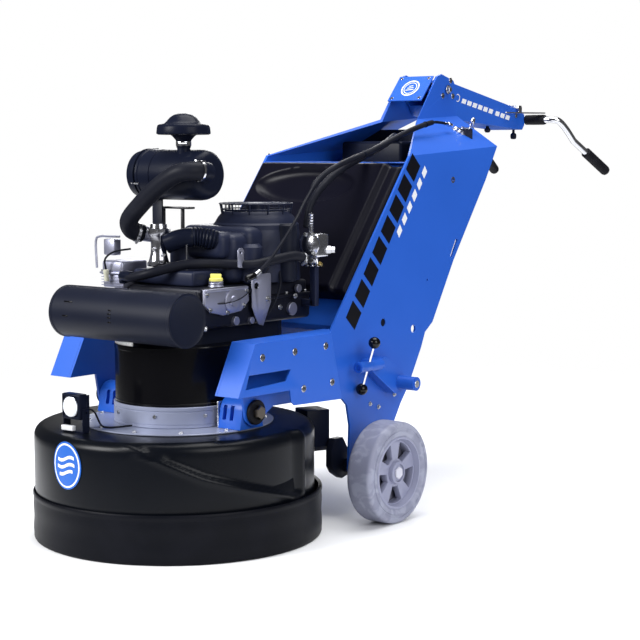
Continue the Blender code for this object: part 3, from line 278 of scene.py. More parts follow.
# A darker copy of the hub grey: painted shade for the hollow behind the wheel's windows.
HUB_SHADE = coated("grey_hub_painted_shade", "grey_hub", (0.11, 0.11, 0.15), 0.6, 0.1, 450.0, 0.2)
HUB_LIGHT = coated("pale_hub_cap", "grey_hub", (0.56, 0.56, 0.64), 0.4, 0.05, 450.0, 0.1)
CAP_YELLOW = coated(
    "yellow_cap_moulding", "yellow_plastic", (0.78, 0.72, 0.17), 0.4, 0.06, 500.0, 0.15)
BOOT_CREAM = coated(
    "cream_boot_rubber", "black_rubber", (0.62, 0.61, 0.48), 0.5, 0.06, 500.0, 0.15)
BADGE_WHITE = coated("white_badge_film", "white_deck", (0.78, 0.79, 0.82), 0.3, 0.02, 300.0, 0.03)
BADGE_BLUE = coated("blue_badge_film", "blue_paint", (0.012, 0.11, 0.48), 0.25, 0.04, 300.0, 0.03)
GRAPHIC_BLACK = coated(
    "black_panel_film", "black_plastic", (0.004, 0.004, 0.007), 0.32, 0.1, 300.0, 0.03, 0.0, 0.2)
LENS = lens_glass()
LED_YELLOW = coated("led_die", "clear_lens", (0.7, 0.62, 0.25), 0.35, 0.05, 400.0, 0.05)


# ---------------------------------------------------------------- shape tools

def lathe(profile, segments=64, closed=False):
    """Spin (radius, height) points about z."""
    shape = bmesh.new()
    verts = [shape.verts.new((radius, 0.0, height)) for radius, height in profile]
    pairs = list(zip(verts, verts[1:]))
    if closed:
        pairs.append((verts[-1], verts[0]))
    edges = [shape.edges.new(pair) for pair in pairs]
    bmesh.ops.spin(
        shape, geom=verts + edges, cent=(0, 0, 0), axis=(0, 0, 1), angle=math.tau, steps=segments,
        use_merge=True)
    bmesh.ops.remove_doubles(shape, verts=shape.verts, dist=1e-6)
    bmesh.ops.recalc_face_normals(shape, faces=shape.faces)
    return shape


def arc(centre, radius, start, end, steps):
    """Points on a circle, from start to end in degrees."""
    points = []
    for step in range(steps + 1):
        angle = math.radians(start + (end - start) * step / steps)
        points.append((centre[0] + radius * math.cos(angle), centre[1] + radius * math.sin(angle)))
    return points


def ring(radius, steps=32, centre=(0.0, 0.0)):
    return arc(centre, radius, 0.0, 360.0, steps)[:-1]


def spoke(angle):
    """The level direction at an angle in degrees round the z axis."""
    angle = math.radians(angle)
    return Vector((math.cos(angle), math.sin(angle), 0.0))


def up(height):
    return Vector((0.0, 0.0, height))


def soften(shape, width, segments=2, angle=30.0):
    """Round every edge that is sharper than the angle."""
    sharp = [
        edge for edge in shape.edges if len(edge.link_faces) == 2
        and edge.calc_face_angle() > math.radians(angle)]
    bmesh.ops.bevel(
        shape, geom=sharp, offset=width, offset_type="OFFSET", segments=segments, profile=0.5,
        affect="EDGES", clamp_overlap=True, material=-1)
    return shape


def plate(outline, low, high, holes=(), round_to=0.0, segments=2):
    """A plate drawn in xy, from z = low to z = high, with holes right through it."""
    shape = bmesh.new()
    edges = []
    for loop in [outline, *holes]:
        verts = [shape.verts.new((x, y, low)) for x, y in loop]
        edges += [shape.edges.new(pair) for pair in zip(verts, verts[1:] + verts[:1])]
    bmesh.ops.triangle_fill(shape, edges=edges, use_beauty=True)
    bmesh.ops.dissolve_limit(shape, angle_limit=0.001, verts=shape.verts, edges=shape.edges)
    made = bmesh.ops.extrude_face_region(shape, geom=shape.faces[:])["geom"]
    moved = [item for item in made if isinstance(item, bmesh.types.BMVert)]
    bmesh.ops.translate(shape, vec=(0.0, 0.0, high - low), verts=moved)
    bmesh.ops.recalc_face_normals(shape, faces=shape.faces)
    if round_to > 0.0:
        soften(shape, round_to, segments, 40.0)
    return shape


def block(low, high, round_to=0.0, segments=2):
    shape = bmesh.new()
    low, high = Vector(low), Vector(high)
    matrix = Matrix.Translation((low + high) * 0.5) @ Matrix.Diagonal((*(high - low), 1.0))
    bmesh.ops.create_cube(shape, size=1.0, matrix=matrix)
    if round_to > 0.0:
        soften(shape, round_to, segments)
    return shape


def aim(start, end):
    """A matrix that lays +z along start to end, with its origin at start."""
    start, end = Vector(start), Vector(end)
    turn = up(1.0).rotation_difference(end - start)
    return Matrix.Translation(start) @ turn.to_matrix().to_4x4()


def moved(shape, matrix):
    bmesh.ops.transform(shape, matrix=matrix, verts=shape.verts)
    return shape


def turned(profile, start, end, segments=32, closed=False):
    """A lathe shape whose z axis lies along start to end."""
    return moved(lathe(profile, segments, closed), aim(start, end))


def rod(start, end, radius, segments=24, round_to=0.0):
    length = (Vector(end) - Vector(start)).length
    lip = max(round_to, radius * 0.08)
    profile = [
        (0.0, 0.0), (radius - lip, 0.0), (radius, lip), (radius, length - lip),
        (radius - lip, length), (0.0, length)]
    return turned(profile, start, end, segments)


def smooth_route(points, steps):
    """Points on a smooth curve through a few chosen ones."""
    places = [Vector(point) for point in points]
    places = [2 * places[0] - places[1]] + places + [2 * places[-1] - places[-2]]
    route = []
    for index in range(1, len(places) - 2):
        before, start, end, after = places[index - 1:index + 3]
        for step in range(steps):
            t = step / steps
            route.append(
                0.5 * (2 * start + (end - before) * t + (2 * before - 5 * start + 4 * end - after)
                * t * t + (3 * start - before - 3 * end + after) * t ** 3))
    route.append(places[-2])
    return route


def pipe(points, radii, sides=16):
    """A round tube along points, ring by ring, with closed ends."""
    shape = bmesh.new()
    points = [Vector(point) for point in points]
    if not hasattr(radii, "__len__"):
        radii = [radii] * len(points)
    across = None
    last = None
    for index, point in enumerate(points):
        along = points[min(index + 1, len(points) - 1)] - points[max(index - 1, 0)]
        along.normalize()
        if across is None:
            across = along.orthogonal().normalized()
        across = (across - along * across.dot(along)).normalized()
        matrix = Matrix((across, along.cross(across), along)).transposed().to_4x4()
        matrix.translation = point
        capped = index in (0, len(points) - 1)
        verts = bmesh.ops.create_circle(
            shape, cap_ends=capped, radius=radii[index], segments=sides, matrix=matrix)["verts"]
        edges = list(
            {edge for vert in verts for edge in vert.link_edges if edge.other_vert(vert) in verts})
        if last:
            bmesh.ops.bridge_loops(shape, edges=last + edges)
        last = edges
    bmesh.ops.recalc_face_normals(shape, faces=shape.faces)
    return shape


def as_mesh(name, shape):
    """Use a shape up as a new mesh."""
    mesh = bpy.data.meshes.new(name)
    shape.to_mesh(mesh)
    shape.free()
    return mesh


def placed(item):
    """Link an object into the scene."""
    bpy.context.scene.collection.objects.link(item)
    return item


def joined(*shapes):
    """Several shapes as one; the first is kept and the others are used up."""
    whole = shapes[0]
    for part in shapes[1:]:
        carrier = as_mesh("carrier", part)
        whole.from_mesh(carrier)
        bpy.data.meshes.remove(carrier)
    return whole


SIDES = ((1.0, "near"), (-1.0, "far"))


def mirrored(shape):
    """The same shape on the other side of the machine."""
    bmesh.ops.scale(shape, vec=(-1.0, 1.0, 1.0), verts=shape.verts)
    bmesh.ops.reverse_faces(shape, faces=shape.faces)
    return shape


TO_X = Matrix.Rotation(math.radians(90), 4, "Y")


def yz_plane():
    """Matrix that takes a plate drawn as (y, z) into the plane across x."""
    return Matrix(((0, 0, 1, 0), (1, 0, 0, 0), (0, 1, 0, 0), (0, 0, 0, 1)))


def side_plate(outline, low, high, holes=(), round_to=0.0, segments=2):
    """A plate drawn as (y, z), from x = low to x = high."""
    return moved(plate(outline, low, high, holes, round_to, segments), yz_plane())


def put(name, shape, look, body="head", stands_for="", sharp=35.0, slide=True):
    """Make a finished shape a piece of the machine that moves with a body."""
    if slide:
        bmesh.ops.translate(shape, vec=(0.0, HEAD_Y, 0.0), verts=shape.verts)
    mesh = as_mesh(name, shape)
    mesh.shade_smooth()
    mesh.set_sharp_from_angle(angle=math.radians(sharp))
    mesh.materials.append(look)
    piece = placed(bpy.data.objects.new(name, mesh))
    if body:
        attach(piece, body)
    if stands_for:
        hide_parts(stands_for)
    return piece


def carved(shape, cutter):
    """Cut one closed shape out of another."""
    pair = [
        placed(bpy.data.objects.new("carving", as_mesh("carving", part)))
        for part in (shape, cutter)]
    step = pair[0].modifiers.new("cut", "BOOLEAN")
    step.operation = "DIFFERENCE"
    step.solver = "EXACT"
    step.object = pair[1]
    result = bmesh.new()
    result.from_object(pair[0], bpy.context.evaluated_depsgraph_get())
    for holder in pair:
        mesh = holder.data
        bpy.data.objects.remove(holder)
        bpy.data.meshes.remove(mesh)
    return result


def node_copy(node):
    """A merged copy of a frame node's shape, with its flat faces made whole."""
    shape = bmesh.new()
    shape.from_mesh(frame["nodes"][node].data)
    bmesh.ops.remove_doubles(shape, verts=shape.verts, dist=1e-5)
    bmesh.ops.dissolve_limit(shape, angle_limit=0.01, verts=shape.verts, edges=shape.edges)
    return shape


def refined(node, edge):
    """The frame's own blue sheet with its edges rounded."""
    put(
        node + "_skin", soften(node_copy(node), edge, 2, 25.0), BLUE,
        frame["nodes"][node]["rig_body"], node, 18.0, slide=False)


def washer_bolt(
        name, at, direction, washer_r, head_r, body="head", washer_look=None, head_look=None,
        hexed=True):
    """A washer and a bolt head standing on a face, both zinc plated unless told otherwise."""
    at, direction = Vector(at), Vector(direction).normalized()
    thick = washer_r * 0.16
    profile = [
        (head_r * 0.5, 0.0), (washer_r, 0.0), (washer_r, thick * 0.7),
        (washer_r - thick * 0.4, thick), (head_r * 0.5, thick)]
    put(
        name + "_washer", turned(profile, at, at + direction, 32, True), washer_look or ZINC,
        body)
    if hexed:
        profile = [(0.0, 0.0), (1.0, 0.0), (1.0, 0.62), (0.86, 0.72), (0.0, 0.72)]
    else:
        profile = [
            (0.0, 0.0), (1.0, 0.0), (0.92, 0.35), (0.6, 0.55), (0.42, 0.58), (0.42, 0.3),
            (0.0, 0.3)]
    profile = [(head_r * radius, head_r * height) for radius, height in profile]
    top = at + direction * thick
    head = turned(profile, top, top + direction, 6 if hexed else 24)
    put(name + "_head", head, head_look or ZINC, body, sharp=20.0 if hexed else 35.0)


# ---------------------------------------------------------------- head

def cover_radius(angle, height):
    """The cover is pinched in above a seam that sweeps down round its front."""
    lean = 0.009 * math.cos(math.radians(angle - 218.0))
    radius = 0.4125 + lean
    seam = seam_height(angle)
    if seam is None:
        return radius + 0.004
    fade = min(1.0, max(0.0, (SEAM[-1][0] - angle) / 5.0))
    inside = min(1.0, max(0.0, (height - seam) / 0.012))
    inside = inside * inside * (3.0 - 2.0 * inside)
    lip = math.exp(-((height - seam + 0.004) / 0.008) ** 2)
    return radius + 0.004 - 0.011 * inside * fade + 0.0035 * lip * fade


SEAM = [
    (-76.0, 0.348), (-68.6, 0.341), (-53.7, 0.292), (-37.0, 0.239), (-18.0, 0.199), (6.2, 0.154),
    (14.0, 0.148)]
RIB_ANGLE = 15.0


def seam_height(angle):
    """Height of the seam at an angle round the cover, or None where there is none."""
    for (first, low), (second, high) in zip(SEAM, SEAM[1:]):
        if first <= angle <= second:
            share = (angle - first) / (second - first)
            return low + (high - low) * share
    return None


def build_cover():
    top = 0.336
    profile = [(0.406, 0.062), (0.412, 0.06)]
    profile += [(0.412, 0.15 + 0.006 * step) for step in range(25)]
    profile += arc((0.412 - 0.03, top - 0.03), 0.03, 8.0, 90.0, 8)
    profile += [
        (0.3, top), (0.284, top), (0.15, top - 0.0002), (0.15, top - 0.006), (0.38, top - 0.006),
        (0.406, top - 0.032)]
    shape = lathe(profile, 240, True)
    for vert in shape.verts:
        height = vert.co.z
        radius = math.hypot(vert.co.x, vert.co.y)
        if height < 0.145 or radius < 0.3:
            continue
        angle = math.degrees(math.atan2(vert.co.y, vert.co.x))
        share = min(1.0, (radius - 0.3) / 0.09)
        rib = 0.006 * math.exp(-((angle - RIB_ANGLE) / 1.6) ** 2)
        change = (cover_radius(angle, height) - 0.412 + rib) * share
        wave = 0.0006 * noise.noise(vert.co * 9.0)
        vert.co.x *= (radius + change + wave) / radius
        vert.co.y *= (radius + change + wave) / radius
    put("shroud_cover_moulding", shape, COVER_BLACK, "head", "shroud_cover", 60.0)


def build_skirt():
    profile = [(0.4185, 0.001), (0.4225, 0.0), (0.4275, 0.0015), (0.43, 0.006)]
    profile += [(0.43 + 0.0008 * math.sin(step * 0.8), 0.014 + 0.009 * step) for step in range(13)]
    profile += [
        (0.43, 0.1275), (0.4318, 0.131), (0.432, 0.137), (0.43, 0.1415), (0.426, 0.142),
        (0.42, 0.14), (0.4185, 0.134)]
    shape = lathe(profile, 200, True)
    for vert in shape.verts:
        place = Vector((vert.co.x * 5.0, vert.co.y * 5.0, vert.co.z * 3.0))
        scale = 1.0 - 0.0018 * (0.5 + noise.noise(place))
        vert.co.x *= scale
        vert.co.y *= scale
    put("skirt_rubber_ring", shape, SKIRT_RUBBER, "head", "skirt_ring", 50.0)


BADGE_ANGLE = -94.5
BADGE_Z = 0.259


def wrapped(shape, out_from):
    """Bend a flat shape onto the round side of the cover, where the badge is."""
    curve = 0.4125 + 0.009 * math.cos(math.radians(BADGE_ANGLE - 218.0)) + 0.004
    for vert in shape.verts:
        angle = math.radians(BADGE_ANGLE) + vert.co.x / curve
        radius = curve + out_from + vert.co.z
        vert.co = Vector((radius * math.cos(angle), radius * math.sin(angle), BADGE_Z + vert.co.y))
    bmesh.ops.recalc_face_normals(shape, faces=shape.faces)
    return shape


def badge_face(radius_across, radius_up, thick, out_from):
    """An oval disc that follows the round side of the cover."""
    outline = [
        (radius_across * math.cos(angle), radius_up * math.sin(angle))
        for angle in (math.tau * step / 48 for step in range(48))]
    shape = plate(outline, 0.0, thick)
    bmesh.ops.triangulate(shape, faces=shape.faces)
    bmesh.ops.subdivide_edges(shape, edges=shape.edges, cuts=2, use_grid_fill=True)
    return wrapped(shape, out_from)


def build_badge():
    """A plain round badge: a rim, a white ring, a blue field and three white waves."""
    for name, across, tall, thick, out_from, look in (
            ("rim", 0.06, 0.068, 0.0012, 0.0004, BADGE_BLUE), ("ring", 0.055, 0.063, 0.0008,
            0.0014, BADGE_WHITE), ("field", 0.05, 0.058, 0.0008, 0.002, BADGE_BLUE)):
        put("badge_" + name, badge_face(across, tall, thick, out_from), look, sharp=30.0)
    for index, (width, rise) in enumerate(((0.034, 0.02), (0.036, 0.0), (0.028, -0.02))):
        outline = []
        for step in range(13):
            across = -width + 2.0 * width * step / 12
            outline.append((across, rise + 0.006 * math.sin(across * 75.0) + 0.0045))
        outline += [(across, high - 0.009) for across, high in reversed(outline)]
        put(
            "badge_wave_" + str(index), wrapped(plate(outline, 0.0, 0.0006), 0.0027), BADGE_WHITE,
            sharp=30.0)


DECK_TOP = 0.3414


def build_deck():
    profile = [
        (0.15, 0.3364), (0.283, 0.3364), (0.285, 0.338), (0.285, 0.3402), (0.2835, DECK_TOP),
        (0.15, DECK_TOP)]
    put("deck_plate_skin", lathe(profile, 128, True), DECK_WHITE, "head", "deck_plate")
    for index in range(12):
        at = spoke(15.0 + 30.0 * index) * 0.262 + up(DECK_TOP)
        washer_bolt(f"deck_bolt_{index:02d}", at, (0, 0, 1), 0.0085, 0.0055)


def build_flange():
    profile = [
        (0.0256, 0.3418), (0.1885, 0.3418), (0.19, 0.3433), (0.19, 0.35), (0.1886, 0.3508),
        (0.1886, 0.3528), (0.19, 0.3536), (0.19, 0.388), (0.1882, 0.3892), (0.1882, 0.3912),
        (0.19, 0.3924), (0.19, 0.4012), (0.1885, 0.4028), (0.0256, 0.4028)]
    put(
        "bearing_flange_skin", lathe(profile, 160, True), FLANGE_ALLOY, "head", "bearing_flange",
        30.0)
    for index in range(8):
        out = spoke(22.5 + 45.0 * index)
        at = out * 0.1895 + up(0.376)
        put(f"flange_plug_{index}", rod(at, at + out * 0.0035, 0.006, 6), ZINC)


def build_drum():
    profile = [
        (0.181, 0.4036), (0.1862, 0.4032), (0.187, 0.4046), (0.187, 0.4115), (0.1855, 0.4125),
        (0.1855, 0.56), (0.187, 0.5612), (0.187, 0.5728), (0.1852, 0.5752), (0.0256, 0.5752),
        (0.0256, 0.5692), (0.181, 0.5692)]
    put("drum_housing_skin", lathe(profile, 128, True), DRUM_BLACK, "head", "drum_housing", 30.0)


PIVOT_Z = 0.391


def lug_shape():
    """A bent strap round the pivot with a window each side of its middle web."""
    base = 0.3418
    outer = [(-0.052, base), (0.052, base)] + arc((0.0, PIVOT_Z), 0.042, 0.0, 180.0, 24)
    shape = side_plate(outer, 0.205, 0.2905, (), 0.002)
    for low in (0.2185, 0.2455):
        window = block((low, -0.06, 0.366), (low + 0.014, -0.03, 0.409), 0.002, 1)
        shape = carved(shape, window)
    return shape


def build_lugs():
    for side, word in SIDES:
        shape = lug_shape()
        stud = rod((0.25, 0.0, PIVOT_Z), (0.316, 0.0, PIVOT_Z), 0.0158, 32)
        collar = turned(
            [(0.018, 0.0), (0.0345, 0.0), (0.036, 0.002), (0.036, 0.01), (0.0345, 0.012),
            (0.018, 0.012)], (0.3012, 0.0, PIVOT_Z), (0.4, 0.0, PIVOT_Z), 48, True)
        nut = turned(
            [(0.0, 0.0), (0.021, 0.0), (0.021, 0.012), (0.0185, 0.0145), (0.0, 0.0145)],
            (0.3134, 0.0, PIVOT_Z), (0.4, 0.0, PIVOT_Z), 6)
        plate_strip = block((0.197, -0.047, 0.3416), (0.2035, -0.026, 0.418), 0.001)
        if side < 0.0:
            for part in (shape, stud, collar, nut, plate_strip):
                mirrored(part)
        put("pivot_lug_" + word + "_strap", shape, BLUE, "head", "pivot_lug_" + word)
        put("pivot_stud_" + word, stud, OXIDE_STEEL)
        put("pivot_bush_" + word, collar, GRIP_RUBBER)
        put("pivot_nut_" + word, nut, OXIDE_STEEL, sharp=20.0)
        put("lug_stop_" + word, plate_strip, ZINC)


LAMP = Vector((-0.088, -0.33, 0.412))


def build_work_light():
    half = 0.037
    shape = block(LAMP - Vector((half, 0.0225, half)), LAMP + Vector((half, 0.01, half)), 0.005, 3)
    face = LAMP.y - 0.0225
    pocket = block(
        (LAMP.x - 0.0305, face - 0.01, LAMP.z - 0.0305), (LAMP.x + 0.0305, face + 0.005,
        LAMP.z + 0.0305), 0.006, 3)
    shape = carved(shape, pocket)
    for index in range(6):
        x = LAMP.x - 0.03 + 0.012 * index
        fin = block(
            (x - 0.0016, LAMP.y + 0.008, LAMP.z - 0.032), (x + 0.0016, LAMP.y + 0.0228,
            LAMP.z + 0.032), 0.0006, 1)
        shape = joined(shape, fin)
    put("work_light_body", shape, PLASTIC_BLACK, "work_light", "work_light_housing")
    start = (LAMP.x, face + 0.0046, LAMP.z)
    end = (LAMP.x, face - 1.0, LAMP.z)
    put(
        "work_light_reflector", turned([(0.0, 0.0), (0.029, 0.0), (0.029, 0.0022), (0.026, 0.003),
        (0.0, 0.0012)], start, end, 48), CHROME, "work_light")
    for index, (x, z) in enumerate(
            ((0.0, 0.0), (0.013, 0.0), (-0.013, 0.0), (0.0, 0.013), (0.0, -0.013))):
        at = Vector((LAMP.x + x, face + 0.0022, LAMP.z + z))
        put(
            f"work_light_led_{index}", block(at - Vector((0.003, 0.001, 0.003)),
            at + Vector((0.003, 0.0006, 0.003)), 0.0004), LED_YELLOW, "work_light")
    start = (LAMP.x, face + 0.0006, LAMP.z)
    lens = turned(
        [(0.0, 0.0), (0.0285, 0.0), (0.029, 0.002), (0.025, 0.0045), (0.0, 0.0062)], start, end,
        48)
    put("work_light_lens_dome", lens, LENS, "work_light", "work_light_lens")
    cable = smooth_route(
        [(-0.075, -0.306, 0.402), (-0.062, -0.285, 0.392), (-0.052, -0.268, 0.352),
        (-0.03, -0.262, 0.346), (-0.01, -0.24, 0.3465), (0.005, -0.2, 0.347)], 5)
    lead = put("work_light_lead", pipe(cable, 0.0028, 10), HOSE_RUBBER, None)
    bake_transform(lead)
    put("lamp_tag", block((-0.128, -0.352, 0.342), (-0.082, -0.338, 0.356), 0.001), BADGE_WHITE)


def build_dust_port():
    out, side = spoke(66.0), spoke(156.0)
    turn = Matrix((side, up(1.0), out)).transposed().to_4x4()
    turn.translation = out * 0.4134 + up(0.246)
    outline = [
        (-0.042, -0.022), (-0.024, -0.04), (0.024, -0.04), (0.042, -0.022), (0.042, 0.092),
        (-0.042, 0.092)]
    put(
        "dust_port_duct", moved(plate(outline, 0.0, 0.078, [ring(0.032, 40)], 0.002), turn),
        PLASTIC_BLACK, "head", "dust_port")
    put(
        "dust_port_collar",
        moved(lathe([(0.0322, 0.066), (0.04, 0.066), (0.04, 0.0785), (0.0322, 0.0785)], 48, True),
        turn), HOSE_RUBBER)


# ---------------------------------------------------------------- drive and engine

MUFFLER_AT = Vector((0.0, -0.232, 0.67))
CLEANER_AT = Vector((0.0, 0.005, 1.068))


def build_muffler():
    left, right = -0.222, 0.258
    r = 0.0765
    profile = [
        (0.0, left + 0.006), (0.06, left + 0.004), (0.068, left), (r - 0.001, left),
        (r, left + 0.002), (r, left + 0.009), (r - 0.0016, left + 0.011),
        (r - 0.0016, right - 0.011), (r, right - 0.009), (r, right - 0.001), (r - 0.0025, right),
        (r - 0.0045, right - 0.0015), (0.066, right - 0.004), (0.0, right - 0.0045)]
    shape = moved(lathe(profile, 128), Matrix.Translation(MUFFLER_AT) @ TO_X)
    seam = block((left + 0.012, -0.2325, 0.7435), (right - 0.012, -0.2265, 0.7466), 0.001)
    put(
        "muffler_can", joined(shape, seam, block((-0.06, -0.16, 0.655), (0.1, -0.1006, 0.685),
        0.003)), MUFFLER_BLACK, "head", "muffler", 30.0)
    for index, (x, angle, length) in enumerate(
            ((-0.165, 118.0, 0.034), (-0.165, 86.0, 0.022), (0.02, 106.0, 0.012),
            (0.02, 98.0, 0.012), (0.02, 90.0, 0.012), (0.02, 80.0, 0.012))):
        turn = math.radians(angle)
        out = Vector((0.0, -math.sin(turn), -math.cos(turn)))
        at = MUFFLER_AT + Vector((x, 0.0, 0.0)) + out * (r - 0.0016)
        put(
            f"muffler_slot_{index}", block(at + Vector((0.0, -0.0012, -0.0022)),
            at + Vector((length, 0.0012, 0.0022)), 0.0008), DRUM_BLACK)


def build_air_cleaner():
    left, right = -0.152, 0.138
    r = 0.0745
    band = left + 0.048
    profile = [
        (0.0, left), (0.048, left), (0.06, left + 0.003), (0.069, left + 0.011),
        (0.0715, left + 0.022), (0.072, band - 0.014), (0.0766, band - 0.011),
        (0.077, band - 0.004), (0.0715, band - 0.002), (0.0715, band + 0.002),
        (0.077, band + 0.004), (0.0766, band + 0.011), (r, band + 0.014), (r, band + 0.056),
        (0.0725, band + 0.058), (0.0725, band + 0.061), (r, band + 0.063), (r, right - 0.042),
        (0.073, right - 0.028), (0.068, right - 0.014), (0.056, right - 0.003),
        (0.045, right - 0.0005), (0.033, right), (0.0, right)]
    shape = lathe(profile, 96)
    matrix = Matrix.Translation(CLEANER_AT) @ TO_X
    put("air_cleaner_can", moved(shape, matrix), PLASTIC_BLACK, "head", "air_cleaner", 30.0)
    put(
        "air_cleaner_strap", block((-0.1, 0.002, 0.7458), (-0.06, 0.008, 0.9955), 0.001),
        MUFFLER_BLACK)
    for index, angle in enumerate((200.0, 320.0, 80.0)):
        turn = math.radians(angle)
        out = Vector((0.0, math.cos(turn), math.sin(turn)))
        at = CLEANER_AT + Vector((band - 0.016, 0.0, 0.0)) + out * 0.0735
        put(
            f"air_cleaner_clip_{index}", rod(at, at + Vector((0.032, 0.0, 0.0)) + out * 0.003,
            0.0026, 10), ZINC)


def build_rain_cap():
    profile = [
        (0.0, 1.1465), (0.0205, 1.1465), (0.0215, 1.15), (0.0205, 1.156), (0.0205, 1.163),
        (0.024, 1.17), (0.033, 1.18), (0.038, 1.1835), (0.06, 1.1838), (0.073, 1.1842),
        (0.0785, 1.1865), (0.079, 1.19), (0.0775, 1.204), (0.0755, 1.211), (0.072, 1.2135),
        (0.056, 1.2165), (0.049, 1.223), (0.04, 1.2335), (0.029, 1.2412), (0.015, 1.2456),
        (0.0, 1.247)]
    place = Matrix.Translation((0.05, -0.019, 0.0))
    put(
        "rain_cap_moulding", moved(lathe(profile, 96), place), PLASTIC_BLACK, "head", "rain_cap",
        40.0)
    put(
        "rain_cap_neck", moved(lathe([(0.0, 1.085), (0.019, 1.085), (0.019, 1.16), (0.0, 1.16)],
        48), place), PLASTIC_BLACK)
    put(
        "rain_cap_band",
        moved(lathe([(0.02, 1.152), (0.0222, 1.152), (0.0226, 1.153), (0.0226, 1.164),
        (0.0222, 1.165), (0.02, 1.165)], 64, True), place), CHROME)
    put("rain_cap_screw", rod((0.058, -0.044, 1.1585), (0.084, -0.04, 1.1585), 0.0042, 12), ZINC)


INTAKE_ROUTE = [
    (0.15, -0.03, 1.076), (0.154, -0.062, 1.08), (0.142, -0.092, 1.08), (0.105, -0.108, 1.072),
    (0.035, -0.112, 1.034), (-0.04, -0.11, 0.98), (-0.092, -0.104, 0.935),
    (-0.103, -0.082, 0.905), (-0.092, -0.05, 0.894)]
VAPOR_ROUTE = [
    (-0.095, -0.12, 0.772), (-0.055, -0.128, 0.77), (0.01, -0.118, 0.785), (0.078, -0.046, 0.808),
    (0.14, 0.046, 0.808), (0.205, 0.105, 0.805), (0.232, 0.18, 0.818), (0.248, 0.25, 0.826),
    (0.252, 0.3, 0.812)]


def band_at(name, route, index, radius, width, look, body):
    """A hose clamp: a worm-drive band round a hose at one point of its route."""
    at = route[index]
    along = (route[index + 1] - route[index - 1]).normalized()
    start, end = at - along * width * 0.5, at + along * width * 0.5
    put(
        name, turned([(radius - 0.001, 0.0), (radius + 0.0012, 0.0), (radius + 0.0018, 0.0008),
        (radius + 0.0018, width - 0.0008), (radius + 0.0012, width), (radius - 0.001, width)],
        start, end, 48, True), look, body)
    side = along.cross(Vector((0.3, -0.8, 0.5))).normalized()
    base = at + side * (radius + 0.004)
    across = along.cross(side).normalized()
    put(
        name + "_screw", rod(base - across * 0.01, base + across * 0.01, 0.0042, 10), look, body)


def build_hoses():
    route = smooth_route(INTAKE_ROUTE, 9)
    put("intake_hose_tube", pipe(route, 0.0268, 32), HOSE_RUBBER, "head", "intake_hose", 60.0)
    band_at("intake_clamp_top", route, 10, 0.029, 0.007, CHROME, "head")
    put(
        "intake_hose_cuff", pipe(route[:11], [0.03] * 9 + [0.0288, 0.0275], 32), PLASTIC_BLACK,
        sharp=60.0)
    band_at("intake_clamp_low", route, len(route) - 5, 0.0272, 0.01, ZINC, "head")
    end = route[-1]
    put(
        "intake_elbow",
        pipe(smooth_route([end - Vector((0.012, 0.03, -0.006)), end,
        end + Vector((0.04, 0.02, -0.004)), end + Vector((0.068, 0.01, 0.004))], 4), 0.0225, 24),
        CAST_ALLOY, sharp=60.0)
    route = smooth_route(VAPOR_ROUTE, 7)
    put("vapor_hose_tube", pipe(route, 0.0142, 20), HOSE_RUBBER, "head", "vapor_hose", 60.0)
    elbow = pipe(
        smooth_route([(-0.06, -0.126, 0.771), (-0.1, -0.12, 0.772), (-0.112, -0.108, 0.764),
        (-0.114, -0.104, 0.752)], 5), 0.0155, 20)
    put("vapor_elbow", elbow, PLASTIC_BLACK, sharp=60.0)
    band_at("vapor_clamp", route, len(route) - 3, 0.0144, 0.009, ZINC, "head")


def fin_stack(low, high, pitch, thick, axis):
    """Thin cooling fins spaced along one axis inside a box."""
    low, high = Vector(low), Vector(high)
    fins = []
    for index in range(int((high[axis] - low[axis]) / pitch) + 1):
        start, end = low.copy(), high.copy()
        start[axis] = low[axis] + pitch * index
        end[axis] = start[axis] + thick
        fins.append(block(start, end, thick * 0.3, 1))
    return joined(*fins)


def build_cylinder(word, y, full):
    """One finned barrel, its head and the rocker cover."""
    z = 0.626
    barrel = block((-0.176, y - 0.036, z + 0.014), (-0.1208, y + 0.036, z + 0.11), 0.004)
    fins = fin_stack(
        (-0.19, y - 0.045, z + 0.022), (-0.1208, y + 0.045, z + 0.098), 0.0085, 0.0022, 2)
    put("cylinder_barrel_" + word, joined(barrel, fins), CAST_ALLOY, "head", "cylinder_" + word)
    head = block((-0.205, y - 0.052, z + 0.106), (-0.1208, y + 0.052, z + 0.148), 0.004)
    put(
        "cylinder_head_" + word,
        joined(head, fin_stack((-0.212, y - 0.054, z + 0.112), (-0.1215, y + 0.054, z + 0.146),
        0.008, 0.0022, 2)), CAST_ALLOY)
    cover = block((-0.208, y - 0.056, z + 0.15), (-0.124, y + 0.056, z + 0.186), 0.008, 3)
    put(
        "rocker_cover_" + word,
        joined(cover, block((-0.2135, y - 0.06, z + 0.147), (-0.121, y + 0.06, z + 0.153),
        0.002)), CAST_ALLOY)
    for index in range(4):
        x = -0.206 if index % 2 else -0.128
        side = y - 0.0535 if index < 2 else y + 0.0535
        put(
            f"rocker_bolt_{word}_{index}", rod((x, side, z + 0.153), (x, side, z + 0.159), 0.0045,
            6), ZINC)
    if full:
        boot = turned(
            [(0.0, 0.0), (0.007, 0.0), (0.0078, 0.006), (0.0065, 0.018), (0.0085, 0.022),
            (0.0085, 0.034), (0.0, 0.036)], (-0.176, y - 0.066, z + 0.126),
            (-0.176, y - 0.07, z + 0.17), 24)
        put("spark_boot_" + word, boot, BOOT_CREAM)
        lead = smooth_route(
            [(-0.176, y - 0.069, z + 0.16), (-0.172, y - 0.076, z + 0.192),
            (-0.15, y - 0.06, z + 0.214), (-0.12, y - 0.02, z + 0.222)], 5)
        put("spark_lead_" + word, pipe(lead, 0.003, 10), HOSE_RUBBER)


